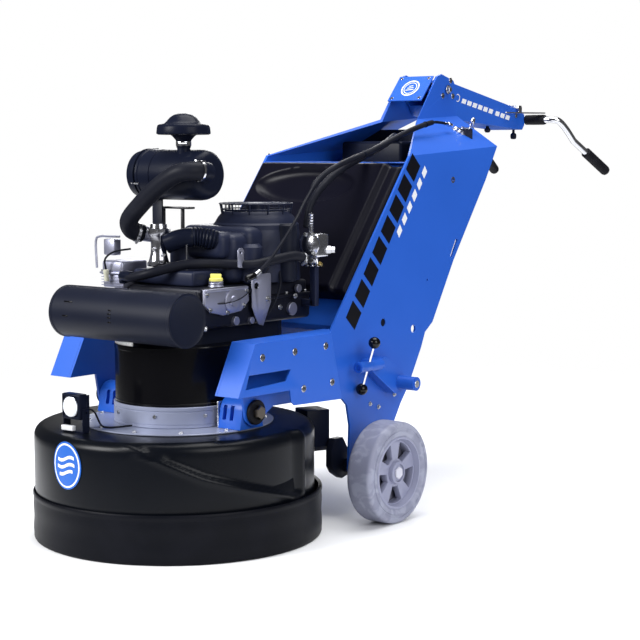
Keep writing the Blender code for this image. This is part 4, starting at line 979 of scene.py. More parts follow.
def build_crankcase():
    """The casting under the engine shroud, with its lid, ribs, plate and bolts."""
    base = block((-0.1195, -0.0995, 0.6262), (0.1895, 0.3995, 0.7), 0.012, 3)
    lid = block((-0.112, -0.092, 0.7), (0.182, 0.392, 0.7452), 0.01, 3)
    rim = block((-0.1195, -0.0998, 0.694), (0.1898, 0.3998, 0.706), 0.003)
    ribs = [
        block((x, -0.0998, 0.64), (x + 0.004, -0.094, 0.694), 0.001, 1)
        for x in (-0.1 + 0.054 * index for index in range(6))]
    put("crankcase_casting", joined(base, lid, rim, *ribs), CASE_BLACK, "head", "crankcase")
    cover = side_plate(
        [(-0.098, 0.744), (0.092, 0.744), (0.096, 0.7), (0.06, 0.672), (-0.02, 0.664),
        (-0.07, 0.676), (-0.098, 0.7)], 0.19, 0.201, (), 0.003, 3)
    put(
        "crankcase_end_cover",
        joined(cover, side_plate([(-0.094, 0.743), (0.088, 0.743), (0.088, 0.736),
        (-0.094, 0.736)], 0.2008, 0.204, (), 0.001)), CAST_ALLOY)
    for index, (y, z) in enumerate(
            ((-0.088, 0.728), (-0.075, 0.684), (0.0, 0.672), (0.072, 0.688), (0.084, 0.73))):
        washer_bolt(f"end_cover_bolt_{index}", (0.2011, y, z), (1, 0, 0), 0.007, 0.005)
    spots = [(x, -0.092, 0.706) for x in (-0.105, -0.055, 0.0, 0.055, 0.12)]
    spots += [(0.1825, y, 0.706) for y in (-0.07, 0.02, 0.11, 0.2, 0.29, 0.38)]
    for index, (x, y, z) in enumerate(spots):
        at = (min(x, 0.181), y, z)
        put(f"lid_bolt_{index:02d}", rod(at, (at[0], y, z + 0.007), 0.006, 6), ZINC)
    boss = turned(
        [(0.0, 0.0), (0.034, 0.0), (0.034, 0.004), (0.03, 0.006), (0.016, 0.006), (0.014, 0.01),
        (0.0, 0.01)], (0.2005, 0.02, 0.704), (0.3, 0.02, 0.704), 40)
    put("crankcase_boss", boss, CAST_ALLOY)
    plate_outline = [
        (0.1, 0.776), (0.182, 0.776), (0.186, 0.77), (0.186, 0.69), (0.15, 0.622), (0.128, 0.628),
        (0.1, 0.68)]
    put(
        "cable_plate", side_plate(plate_outline, 0.2045, 0.2085, [ring(0.01, 16, (0.12, 0.742))],
        0.0008), CAST_ALLOY)
    for index, (y, z) in enumerate(((0.112, 0.766), (0.17, 0.7), (0.3, 0.7), (0.25, 0.668))):
        at = Vector((0.2088 if z > 0.69 and y > 0.1 else 0.19, y, z))
        washer_bolt(f"case_bolt_{index}", at, (1, 0, 0), 0.0085, 0.006)


def build_oil_filler():
    place = Matrix.Translation((0.16, -0.005, 0.0))
    neck = lathe(
        [(0.0, 0.7456), (0.0235, 0.7456), (0.022, 0.749), (0.0205, 0.752), (0.0218, 0.7545),
        (0.0205, 0.757), (0.0218, 0.76), (0.0218, 0.7614), (0.0, 0.7614)], 40)
    put("oil_filler_collar", moved(neck, place), CAST_ALLOY, "head", "oil_filler_neck")
    cap = lathe(
        [(0.0, 0.762), (0.0195, 0.762), (0.02, 0.764), (0.02, 0.769), (0.018, 0.7712),
        (0.0, 0.7725)], 40)
    grip = block((-0.0165, -0.0035, 0.77), (0.0165, 0.0035, 0.783), 0.003, 3)
    put(
        "oil_cap_moulding", moved(joined(cap, grip), place @ Matrix.Rotation(0.5, 4, "Z")),
        CAP_YELLOW, "oil_cap", "oil_cap")


def hoop(radius, height, wire, steps, sides):
    """A level wire hoop round the z axis."""
    loop = [(*place, height) for place in arc((0.0, 0.0), radius, 0.0, 360.0, steps)]
    return pipe(loop, wire, sides)


def build_blower():
    """The fan housing, the scroll in front of it and the turning screen on top."""
    crank = Matrix.Translation((0.075, 0.275, 0.0))
    low = 0.7458
    profile = [
        (0.131, low), (0.135, low), (0.135, low + 0.12), (0.1325, low + 0.15),
        (0.126, low + 0.175), (0.116, low + 0.192), (0.108, low + 0.201), (0.1005, low + 0.2095),
        (0.0972, low + 0.2095), (0.0972, low + 0.2055), (0.131, low + 0.17)]
    put(
        "blower_shell", moved(lathe(profile, 96, True), crank), SHROUD_BLACK, "head",
        "blower_housing", 30.0)
    put(
        "blower_scroll", block((-0.1, 0.06, low), (0.165, 0.2, low + 0.15), 0.028, 5),
        SHROUD_BLACK, sharp=40.0)
    put(
        "blower_shoulder", block((-0.105, 0.12, low + 0.06), (0.175, 0.33, low + 0.168), 0.03, 5),
        SHROUD_BLACK, sharp=40.0)
    put(
        "blower_bulge", rod((0.168, 0.14, low), (0.168, 0.14, low + 0.118), 0.036, 40, 0.01),
        SHROUD_BLACK)
    put(
        "starter_can", rod((0.2, 0.268, 0.7462), (0.2, 0.268, 0.92), 0.033, 40, 0.006),
        MUFFLER_BLACK)
    screen_z = low + 0.2095
    top = screen_z + 0.0245
    wires = []
    for radius in (0.094, 0.078, 0.062, 0.046, 0.03):
        wires.append(hoop(radius, top - 0.0015, 0.0011, 40, 6))
    for index in range(24):
        out = spoke(15.0 * index)
        wires.append(
            pipe([out * 0.0945 + up(screen_z - 0.012), out * 0.0945 + up(top - 0.004),
            out * 0.09 + up(top - 0.0012), out * 0.02 + up(top - 0.0012)], 0.001, 6))
    hub = lathe(
        [(0.0, screen_z - 0.013), (0.088, screen_z - 0.013), (0.088, screen_z - 0.006),
        (0.03, screen_z - 0.004), (0.026, top), (0.0, top)], 48)
    put(
        "flywheel_screen_wire", moved(joined(hub, *wires), crank), SHROUD_BLACK, "crank",
        "flywheel_screen", 40.0)
    guard = []
    for height, radius in ((0.215, 0.108), (0.232, 0.112)):
        guard.append(hoop(radius, low + height, 0.002, 48, 8))
    for index in range(12):
        out = spoke(30.0 * index)
        guard.append(rod(out * 0.106 + up(low + 0.2), out * 0.112 + up(low + 0.234), 0.0028, 8))
    put("screen_guard", moved(joined(*guard), crank), SHROUD_BLACK)


def build_mixer():
    place = Matrix.Translation((-0.02, -0.055, 0.0))
    profile = [
        (0.0, 0.8), (0.033, 0.8), (0.034, 0.802), (0.034, 0.81), (0.03, 0.814), (0.027, 0.824),
        (0.0235, 0.84), (0.0225, 0.862), (0.024, 0.878), (0.0285, 0.892), (0.031, 0.898),
        (0.031, 0.91), (0.0295, 0.912), (0.0255, 0.912), (0.024, 0.9245), (0.0, 0.9245)]
    put(
        "gas_mixer_body", moved(lathe(profile, 64), place), FITTING_ALLOY, "head", "gas_mixer",
        30.0)
    for index, (angle, height) in enumerate(
            ((-60.0, 0.905), (60.0, 0.905), (200.0, 0.905), (-75.0, 0.852), (-20.0, 0.835))):
        out = spoke(angle)
        at = Vector((-0.02, -0.055, height)) + out * 0.022
        put(f"mixer_fitting_{index}", rod(at, at + out * 0.014, 0.0045, 12), ZINC)
    rod_at = Vector((0.078, -0.04, 0.79))
    put("choke_rod", rod(rod_at, rod_at + up(0.076), 0.0022, 10), FITTING_ALLOY)
    duct = [
        (0.006, -0.05, 0.866), (0.04, -0.03, 0.88), (0.072, 0.0, 0.886), (0.1, 0.03, 0.88),
        (0.122, 0.07, 0.866)]
    route = smooth_route(duct, 10)
    radii = [
        0.029 + (0.0022 * math.cos(math.pi * index) if index > 18 else 0.0)
        for index in range(len(route))]
    put("intake_duct_ribbed", pipe(route, radii, 28), PLASTIC_BLACK, sharp=30.0)
    put(
        "engine_front_cowl", block((0.0, 0.03, 0.82), (0.15, 0.11, 0.9), 0.024, 5), SHROUD_BLACK,
        sharp=40.0)
    put("intake_tray", block((-0.112, -0.07, 0.7462), (0.13, 0.055, 0.79), 0.008, 3), SHROUD_BLACK)
    put("grey_lift_bar", block((-0.105, 0.03, 0.9655), (0.02, 0.06, 0.972), 0.0015), IRON)
    for index, x in enumerate((-0.098, -0.02)):
        put(f"lift_bar_leg_{index}", block((x, 0.04, 0.9), (x + 0.006, 0.052, 0.968), 0.001), IRON)
    guard = [
        (-0.215, -0.118, 0.79), (-0.218, -0.118, 0.87), (-0.205, -0.112, 0.884),
        (-0.18, -0.1, 0.884), (-0.15, -0.085, 0.884)]
    put("coil_bracket", pipe(smooth_route(guard, 4), 0.0035, 8), CAST_ALLOY)
    put("ignition_coil", block((-0.205, -0.1, 0.828), (-0.16, -0.07, 0.876), 0.004, 2), CAST_ALLOY)


def build_regulator():
    frame_at = Vector((0.246, 0.352, 0.852))
    half = Vector((0.03, 0.03, 0.036))
    body = block(frame_at - half, frame_at + half, 0.008, 3)
    disc = turned(
        [(0.0, 0.0), (0.036, 0.0), (0.037, 0.003), (0.037, 0.008), (0.03, 0.012), (0.02, 0.016),
        (0.0, 0.017)], frame_at + Vector((0.0, -0.026, 0.004)),
        frame_at + Vector((0.0, -1.0, 0.004)), 40)
    post = Vector((0.235, 0.36, 0.666))
    foot = block((0.1904, 0.35, 0.666), (0.236, 0.37, 0.686), 0.002)
    stand = block(post - Vector((0.01, 0.01, 0.0)), post + Vector((0.01, 0.01, 0.17)), 0.002)
    put("regulator_body", joined(body, disc), FITTING_ALLOY, "head", "regulator")
    put("regulator_stand", joined(foot, stand), SHROUD_BLACK)
    riser = frame_at + Vector((-0.018, 0.0, 0.03))
    route = [riser + up(0.0042 * step) for step in range(17)]
    radii = [0.0086 if step % 2 else 0.0066 for step in range(17)]
    put("regulator_riser", pipe(route, radii, 16), FITTING_ALLOY, sharp=20.0)
    outlet = frame_at + Vector((0.02, 0.02, -0.014))
    put(
        "regulator_outlet", turned([(0.0, 0.0), (0.013, 0.0), (0.013, 0.018), (0.0105, 0.02),
        (0.0105, 0.03), (0.0085, 0.03), (0.0085, 0.022), (0.0, 0.022)], outlet,
        outlet + Vector((0.7, 0.6, 0.0)), 6), ZINC, sharp=20.0)
    for index, (dx, dy, dz, r, look) in enumerate(
            ((-0.012, -0.03, 0.03, 0.006, ZINC), (0.018, -0.03, 0.03, 0.006, ZINC),
            (0.02, -0.03, -0.026, 0.006, ZINC), (-0.02, -0.028, -0.028, 0.008, ZINC),
            (0.004, -0.02, -0.05, 0.009, ZINC), (0.03, -0.01, -0.058, 0.006, BRASS))):
        at = frame_at + Vector((dx, dy, dz))
        put(
            f"regulator_fitting_{index}", rod(at, at + Vector((0.004, -0.012, 0.006)), r, 6),
            look, sharp=20.0)
    for index in range(3):
        start = frame_at + Vector((-0.03 + 0.02 * index, -0.012, -0.034))
        put(
            f"regulator_pipe_{index}", rod(start, start + Vector((0.01, -0.004, -0.03)), 0.0065,
            12), FITTING_ALLOY)


def build_engine_trim():
    """Brackets, small pipes, leads and bosses round the crankcase."""
    leads = [
        ("oil_sensor_lead", [(0.188, -0.06, 0.705), (0.205, -0.03, 0.7), (0.21, 0.04, 0.708),
        (0.206, 0.1, 0.732), (0.204, 0.15, 0.76), (0.196, 0.19, 0.79)], 0.0018),
        ("starter_lead", [(0.2, 0.236, 0.78), (0.216, 0.22, 0.74), (0.212, 0.2, 0.69),
        (0.2, 0.18, 0.65)], 0.004), ("ground_lead", [(0.168, -0.098, 0.735), (0.18, -0.112, 0.72),
        (0.15, -0.118, 0.69), (0.11, -0.11, 0.67)], 0.0025)]
    for name, route, radius in leads:
        put(name, pipe(smooth_route(route, 6), radius, 10), HOSE_RUBBER)
    bracket = block((0.1898, 0.06, 0.798), (0.1928, 0.33, 0.8035), 0.0008)
    tab = side_plate(
        [(0.056, 0.8), (0.082, 0.8), (0.082, 0.848), (0.076, 0.855), (0.062, 0.855),
        (0.056, 0.848)], 0.1898, 0.1928, [ring(0.0045, 16, (0.069, 0.842))], 0.0006)
    put("shroud_bracket", joined(bracket, tab), CAST_ALLOY)
    for index, (y, z, r) in enumerate(
            ((0.04, 0.644, 0.013), (0.11, 0.64, 0.01), (0.3, 0.66, 0.02), (0.33, 0.72, 0.012))):
        at = Vector((0.189, y, z))
        put(f"case_plug_{index}", rod(at, at + Vector((0.012, 0.0, 0.0)), r, 24), CAST_ALLOY)
    put(
        "oil_drain_pipe",
        pipe(smooth_route([(0.12, -0.102, 0.65), (0.14, -0.12, 0.64), (0.165, -0.11, 0.632),
        (0.19, -0.08, 0.63)], 5), 0.008, 16), ZINC)
    put("valley_cover", block((-0.118, 0.07, 0.7462), (0.06, 0.235, 0.8), 0.01, 3), SHROUD_BLACK)


# ---------------------------------------------------------------- frame

FRONT_LOW = Vector((0.353, 0.587))
FRONT_HIGH = Vector((0.768, 1.121))
PANEL_X = 0.3
PANEL_THICK = 0.008
SHIELD_GAP = 0.004


def front_line(distance, behind):
    """A point on the line of the panels' front edge, set back behind it, as (y, z)."""
    along = (FRONT_HIGH - FRONT_LOW).normalized()
    back = Vector((along.y, -along.x))
    return FRONT_LOW + along * distance + back * behind


def build_panels():
    for word in ("near", "far"):
        refined("side_panel_" + word, 0.0014)
        refined("arm_cover_" + word, 0.0012)
    refined("cross_sheet", 0.001)
    refined("neck_front_plate", 0.0008)
    refined("clamp_bracket", 0.0012)
    spots = [(-0.057, 0.56), (0.087, 0.563), (0.231, 0.566), (0.127, 0.451), (0.262, 0.455)]
    for side, word in SIDES:
        for index, (y, z) in enumerate(spots):
            at = (side * 0.3801, y, z)
            washer_bolt(
                f"cover_bolt_{word}_{index}", at, (side, 0, 0), 0.0108, 0.0062, "frame",
                FITTING_ALLOY, IRON, False)
        for index, (y, z) in enumerate(((1.33, 1.384), (1.282, 1.33), (1.345, 1.33))):
            at = (side * 0.0802, y, z)
            washer_bolt(
                f"neck_bolt_{word}_{index}", at, (side, 0, 0), 0.01, 0.0058, "frame",
                FITTING_ALLOY, IRON, False)
        at = Vector((side * 0.3002, 1.019, 1.041))
        bush = turned(
            [(0.0055, 0.0), (0.0105, 0.0), (0.0105, 0.0012), (0.0055, 0.0012)], at,
            at + Vector((side, 0.0, 0.0)), 32, True)
        put("panel_bush_" + word, bush, FITTING_ALLOY, "frame")
    low, high = Vector((1.16, 1.312)), Vector((1.236, 1.398))
    along = (high - low).normalized()
    out = Vector((-along.y, along.x))
    across = Vector((1.0, 0.0, 0.0))
    rising = Vector((0.0, along.x, along.y))
    normal = Vector((0.0, out.x, out.y))
    if normal.y > 0.0:
        normal = -normal
    middle = Vector((0.0, *(low + high) * 0.5)) + normal * 0.0003
    turn = Matrix((across, rising, across.cross(rising))).transposed().to_4x4()
    facing = 1.0 if across.cross(rising).dot(normal) > 0.0 else -1.0
    turn.translation = middle
    for name, outer, inner, look, rise in (
            ("neck_badge_ring", 0.036, 0.031, BADGE_WHITE, 0.0008),
            ("neck_badge_inner", 0.026, 0.0235, BADGE_WHITE, 0.0008)):
        put(
            name, moved(plate(ring(outer, 48), 0.0, facing * rise, [ring(inner, 48)]), turn),
            look, "frame")
    for index, shift in enumerate((-0.009, 0.0, 0.009)):
        outline = [
            (-0.016 + 0.004 * index, shift - 0.002), (0.016 - 0.004 * index, shift + 0.001),
            (0.016 - 0.004 * index, shift + 0.004), (-0.016 + 0.004 * index, shift + 0.001)]
        put(
            f"neck_badge_bar_{index}", moved(plate(outline, 0.0, facing * 0.0008), turn),
            BADGE_WHITE, "frame")
    for index, (x, y) in enumerate(
            ((-0.058, -0.046), (0.058, -0.046), (-0.058, 0.046), (0.058, 0.046))):
        at = turn @ Vector((x, y, facing * 0.0002))
        washer_bolt(
            f"plate_screw_{index}", at, normal, 0.006, 0.0042, "frame", FITTING_ALLOY, IRON, False)


def build_rear_cover():
    """The dark sheet that closes the top of the frame between the two panels. Its black is partly
    a likely rear cover and partly painted shade for the deep shadow inside the frame.
    """
    top, low = Vector((1.262, 1.145)), Vector((1.01, 0.8))
    bend = Vector((1.203, 1.04))
    outline = [
        tuple(top), tuple(bend), tuple(low), tuple(low - Vector((0.004, -0.003))),
        tuple(bend - Vector((0.004, -0.002))), tuple(top - Vector((0.004, -0.002)))]
    sheet = side_plate(outline, -0.2905, 0.2905)
    hood_x = 0.24
    put(
        "rear_cover_shade_sheet", joined(sheet, block((-hood_x, 1.225, 1.1), (hood_x, 1.229, 1.212))),
        PLASTIC_BLACK, "frame")
    for index, x in enumerate((-0.24, 0.0, 0.24)):
        for level, place in enumerate((Vector((1.236, 1.095)), Vector((1.06, 0.868)))):
            at = Vector((x, place.x + 0.002, place.y - 0.001))
            washer_bolt(
                f"rear_cover_bolt_{index}_{level}", at, (0.0, 0.8, -0.6), 0.008, 0.0055, "frame")
    # The black box is partly an electrical box and partly painted shade inside the frame.
    put(
        "control_box", block((-0.2, 1.06, 1.06), (0.06, 1.19, 1.17), 0.012, 3), PLASTIC_BLACK,
        "frame", sharp=40.0)
    arm = side_plate(
        [(0.88, 1.088), (1.06, 1.104), (1.06, 1.112), (0.88, 1.098)], 0.15, 0.156, (), 0.001)
    put(
        "linkage_bar", joined(arm, rod((0.11, 0.905, 1.094), (0.23, 0.905, 1.094), 0.006, 16)),
        ZINC, "frame")
    y, z = 0.629, 0.597
    # Black blind grommets in the panel holes; their black also stands in for the shade seen
    # through the holes.
    for side, word in SIDES:
        put(
            "panel_plug_" + word, rod((side * 0.2915, y, z), (side * 0.2975, y, z), 0.0132, 32),
            PLASTIC_BLACK, "frame")


def panel_stripe(name, corners, look, side=1):
    """A thin film on the outer face of a side panel, drawn as (y, z)."""
    low, high = (PANEL_X + 0.0001, PANEL_X + 0.0007)
    shape = side_plate(corners, low, high)
    if side < 0.0:
        mirrored(shape)
    put(name, shape, look, "frame")


def slanted(start, end, half_width, cut=0.35):
    """A bar from start to end with ends cut on a slant."""
    start, end = Vector(start), Vector(end)
    along = (end - start).normalized()
    across = Vector((-along.y, along.x)) * half_width
    slip = along * half_width * cut
    return [
        tuple(start - across - slip), tuple(end - across - slip), tuple(end + across + slip),
        tuple(start + across + slip)]


def build_graphics():
    """Plain slanted blocks and a thin line, in the place of a maker's lettering."""
    start, end = Vector((0.452, 0.602)), Vector((0.812, 1.118))
    along = (end - start) / 8.0
    for side, word in SIDES:
        for index in range(8):
            low = start + along * (index + 0.08)
            high = start + along * (index + 0.86)
            panel_stripe(
                f"panel_block_{word}_{index}", slanted(low, high, 0.03, 0.15), GRAPHIC_BLACK, side)
        thin = Vector((0.703, 0.868)), Vector((0.868, 1.09))
        step = (thin[1] - thin[0]) / 6.0
        for index in range(6):
            low = thin[0] + step * (index + 0.1)
            high = thin[0] + step * (index + 0.72)
            panel_stripe(
                f"panel_dash_{word}_{index}", slanted(low, high, 0.011), BADGE_WHITE, side)


def build_shield():
    """The glossy moulded panel: a dished oval at the top and a raised border rib."""
    half = PANEL_X - PANEL_THICK - SHIELD_GAP
    long_low, long_high = 0.145, 0.64
    proud = 0.02
    shape = bmesh.new()
    middle_z = 0.5 * (long_low + long_high)
    size = Vector((2.0 * half, long_high - long_low))
    bmesh.ops.create_grid(shape, x_segments=110, y_segments=96, size=0.5)
    for vert in shape.verts:
        x = vert.co.x * size.x
        run = vert.co.y * size.y
        depth = -proud
        edge = min(half - abs(x), 0.5 * size.y - abs(run))
        if edge < 0.014:
            depth += 0.012 * (1.0 - math.sin(math.radians(90.0 * edge / 0.014)))
        oval = ((x + 0.055) / 0.205) ** 2 + ((run - 0.15) / 0.072) ** 2
        if oval < 1.0:
            depth += 0.022 * (1.0 - oval ** 4)
        if x > 0.232:
            depth += 0.018 * min(1.0, (x - 0.232) / 0.012)
        place = front_line(middle_z + run, depth)
        vert.co = Vector((x, place.x, place.y))
    made = bmesh.ops.extrude_face_region(shape, geom=shape.faces[:])["geom"]
    back = [item for item in made if isinstance(item, bmesh.types.BMVert)]
    along = (FRONT_HIGH - FRONT_LOW).normalized()
    for vert in back:
        flat = Vector((vert.co.y, vert.co.z))
        distance = (flat - FRONT_LOW).dot(along)
        place = front_line(distance, 0.0395)
        vert.co = Vector((vert.co.x, place.x, place.y))
    bmesh.ops.recalc_face_normals(shape, faces=shape.faces)
    put("front_shield_moulding", shape, SHIELD_BLACK, "frame", "front_shield", 50.0)


def build_gas_bottle():
    """The fuel bottle on the shelf, with its valve collar, two straps and the valve's hand wheel.
    """
    low = front_line(0.06, 0.04 + 0.02 + 0.125)
    along = (FRONT_HIGH - FRONT_LOW).normalized()
    r, length = 0.1248, 0.52
    profile = [(0.0, 0.004), (0.05, 0.004)]
    profile += arc((r - 0.055, 0.058), 0.055, -82.0, 0.0, 8)
    profile += arc((r - 0.055, length - 0.058), 0.055, 0.0, 78.0, 8)
    profile += [
        (0.03, length - 0.004), (0.03, length + 0.004), (0.014, length + 0.006),
        (0.014, length + 0.0195), (0.0, length + 0.0195)]
    start, end = (0.0, *low), (0.0, *(low + along))
    put("gas_bottle_shell", turned(profile, start, end, 72), HUB_GREY, "frame", "gas_cylinder")
    collar = [
        (0.086, length - 0.05), (0.09, length - 0.05), (0.09, length + 0.016),
        (0.086, length + 0.016)]
    put("gas_bottle_collar", turned(collar, start, end, 64, True), HUB_GREY, "frame")
    base = low + along * (length + 0.0204)
    top = base + along
    wheel = [
        (0.0, 0.0), (0.009, 0.0), (0.009, 0.009), (0.018, 0.01), (0.026, 0.0115), (0.0262, 0.019),
        (0.024, 0.0215), (0.016, 0.0185), (0.01, 0.0215), (0.0, 0.022)]
    put(
        "bottle_hand_wheel", turned(wheel, (0.0, *base), (0.0, *top), 48), PLASTIC_BLACK,
        "bottle_valve", "bottle_valve_knob")
    for index in range(2):
        at = low + along * (0.13 + 0.26 * index)
        band = [(0.125, 0.0), (0.1262, 0.0), (0.1262, 0.03), (0.125, 0.03)]
        put(
            f"bottle_strap_{index}", turned(band, (0.0, *at), (0.0, *(at + along)), 64, True),
            GRIP_RUBBER, "frame")


def build_clamp():
    """The transport clamp's turning tube and the bar with its two balls."""
    at = Vector((0.345, 0.488, 0.476))
    lean = math.radians(18.0)
    reach = Vector((math.sin(lean), 0.0, math.cos(lean)))
    tube = turned(
        [(0.009, 0.0), (0.015, 0.0), (0.0172, 0.0015), (0.0172, 0.006), (0.0163, 0.0075),
        (0.0163, 0.06), (0.009, 0.06)], at - Vector((0.0, 0.052, 0.0)),
        at + Vector((0.0, 1.0, 0.0)), 48, True)
    put(
        "clamp_tube",
        joined(tube, rod(at - Vector((0.0, 0.048, 0.0)), at + Vector((0.0, 0.044, 0.0)), 0.0092,
        24)), BLUE, "clamp", "clamp_bar")
    put("clamp_rod", rod(at - reach * 0.07, at + reach * 0.07, 0.0045, 24), CHROME, "clamp")
    for word, sign in (("top", 1.0), ("low", -1.0)):
        centre = at + reach * sign * 0.078
        ball = bmesh.new()
        bmesh.ops.create_uvsphere(
            ball, u_segments=40, v_segments=24, radius=0.0185, matrix=Matrix.Translation(centre))
        put("clamp_ball_" + word, ball, DRUM_BLACK, "clamp", sharp=60.0)
    end = Vector((0.4022, 0.668, 0.405))
    inner = turned(
        [(0.0, 0.0), (0.012, 0.0), (0.012, 0.004), (0.0165, 0.004), (0.0165, -0.0005),
        (0.0218, -0.0005), (0.0222, 0.0008), (0.0222, 0.0018), (0.0, 0.0018)],
        end - Vector((0.0015, 0.0, 0.0)), end + Vector((1.0, 0.0, 0.0)), 40)
    put("boss_socket", inner, BLUE, "frame")
    put(
        "boss_pin", rod(end - Vector((0.004, 0, 0)), end + Vector((0.0035, 0, 0)), 0.0118, 24),
        ZINC, "frame")
    for index, (y, z) in enumerate(((0.64, 0.455), (0.69, 0.36), (0.56, 0.345), (0.605, 0.33))):
        washer_bolt(f"clamp_bolt_{index}", (0.3002, y, z), (1, 0, 0), 0.0075, 0.0055, "frame")


CABLE_ROUTE = [
    (0.19, 1.165, 1.226), (0.196, 1.1, 1.232), (0.2, 1.03, 1.23), (0.2, 0.9, 1.2),
    (0.2, 0.707, 1.14), (0.196, 0.533, 1.093), (0.19, 0.44, 1.05), (0.215, 0.345, 0.99),
    (0.252, 0.25, 0.933), (0.264, 0.18, 0.878), (0.266, 0.118, 0.826), (0.252, 0.07, 0.782)]
LOOM_ROUTE = [
    (0.02, 1.08, 1.18), (0.08, 0.99, 1.185), (0.13, 0.88, 1.165), (0.15, 0.76, 1.13),
    (0.15, 0.62, 1.085), (0.145, 0.52, 1.03), (0.14, 0.462, 0.97), (0.14, 0.44, 0.9)]


def world(place):
    """A laid-out place in the frame's own coordinates."""
    return Vector(place) + Vector((0.0, HEAD_Y, 0.0))


def build_cables():
    route = smooth_route(CABLE_ROUTE, 8)
    radii = [0.0088 if 14 < index < 52 else 0.0048 for index in range(len(route))]
    cable = put(
        "throttle_cable_run", pipe(route, radii, 14), HOSE_RUBBER, None, "throttle_cable", 60.0)
    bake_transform(cable)
    loom = smooth_route(LOOM_ROUTE, 8)
    sleeve = put(
        "wiring_loom_run",
        pipe(loom, [0.0118 + 0.0006 * math.sin(index * 1.9) for index in range(len(loom))], 16),
        HOSE_RUBBER, None, "wiring_loom", 60.0)
    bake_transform(sleeve)
    start = Vector((0.19, 1.165, 1.226))
    heading = (route[1] - route[0]).normalized()
    ferrule = turned(
        [(0.0, 0.0), (0.005, 0.0), (0.006, 0.002), (0.006, 0.014), (0.0078, 0.016),
        (0.0078, 0.026), (0.0055, 0.028), (0.0055, 0.046), (0.0, 0.047)], start - heading * 0.012,
        start + heading, 24)
    put("cable_ferrule", ferrule, FITTING_ALLOY, "frame")
    end = route[-1]
    boot = turned(
        [(0.0, 0.0), (0.007, 0.0), (0.0105, 0.006), (0.0105, 0.036), (0.0075, 0.044),
        (0.0, 0.045)], end + Vector((0.004, -0.052, -0.012)), end, 24)
    put("cable_end_boot", boot, DRUM_BLACK)
    put(
        "cable_end_ferrule", rod(end + Vector((0.001, -0.01, -0.004)),
        end + Vector((0.002, 0.012, 0.008)), 0.0072, 16), ZINC)
    for index, spot in enumerate((18, 34)):
        at = route[spot]
        along = (route[spot + 1] - route[spot - 1]).normalized()
        put(
            f"cable_tie_{index}",
            turned([(0.0086, 0.0), (0.0102, 0.0), (0.0102, 0.004), (0.0086, 0.004)], at,
            at + along, 24, True), PLASTIC_BLACK, "frame")


def shoulder_frame():
    """A matrix on the near shoulder under the throttle, with +z out of the sheet."""
    lever = next(joint for joint in frame["joints"] if joint["name"] == "throttle_turn")
    normal = Vector(lever["axis"]).normalized()
    turn = up(1.0).rotation_difference(normal).to_matrix().to_4x4()
    turn.translation = Vector(lever["pos_m"]) - Vector((0.0, HEAD_Y, 0.0))
    return turn


def build_throttle():
    place = shoulder_frame()
    base = lathe(
        [(0.0, 0.0004), (0.0225, 0.0004), (0.023, 0.0012), (0.023, 0.0032), (0.0175, 0.004),
        (0.0165, 0.01), (0.0, 0.01)], 48)
    ear = plate(
        [(-0.006, 0.0), (0.006, 0.0), (0.008, 0.045), (0.0, 0.054), (-0.008, 0.045)], 0.01,
        0.0135, (), 0.0006)
    nut = lathe([(0.0, 0.0134), (0.0075, 0.0134), (0.0075, 0.019), (0.0, 0.0195)], 6)
    put(
        "throttle_base", moved(joined(base, ear, nut), place), ZINC, "throttle", "throttle_lever",
        25.0)
    knob = lathe(
        [(0.0, 0.012), (0.005, 0.012), (0.005, 0.024), (0.0078, 0.027), (0.0088, 0.036),
        (0.0078, 0.046), (0.0052, 0.0525), (0.0, 0.054)], 32)
    put(
        "throttle_stub", moved(knob, place @ Matrix.Translation((0.0, 0.046, 0.0))),
        FITTING_ALLOY, "throttle")
    put(
        "throttle_cable_stop", moved(block((-0.034, -0.0045, 0.0005), (-0.018, 0.0045, 0.009),
        0.001), place), FITTING_ALLOY, "frame")
    put(
        "throttle_shim",
        moved(plate([(-0.034, -0.016), (0.02, -0.02), (0.03, 0.0), (0.02, 0.02), (-0.034, 0.016)],
        0.0001, 0.0004), place), ZINC, "frame")


# ---------------------------------------------------------------- wheels

WHEEL_AXLE = (0.4835, 0.157)


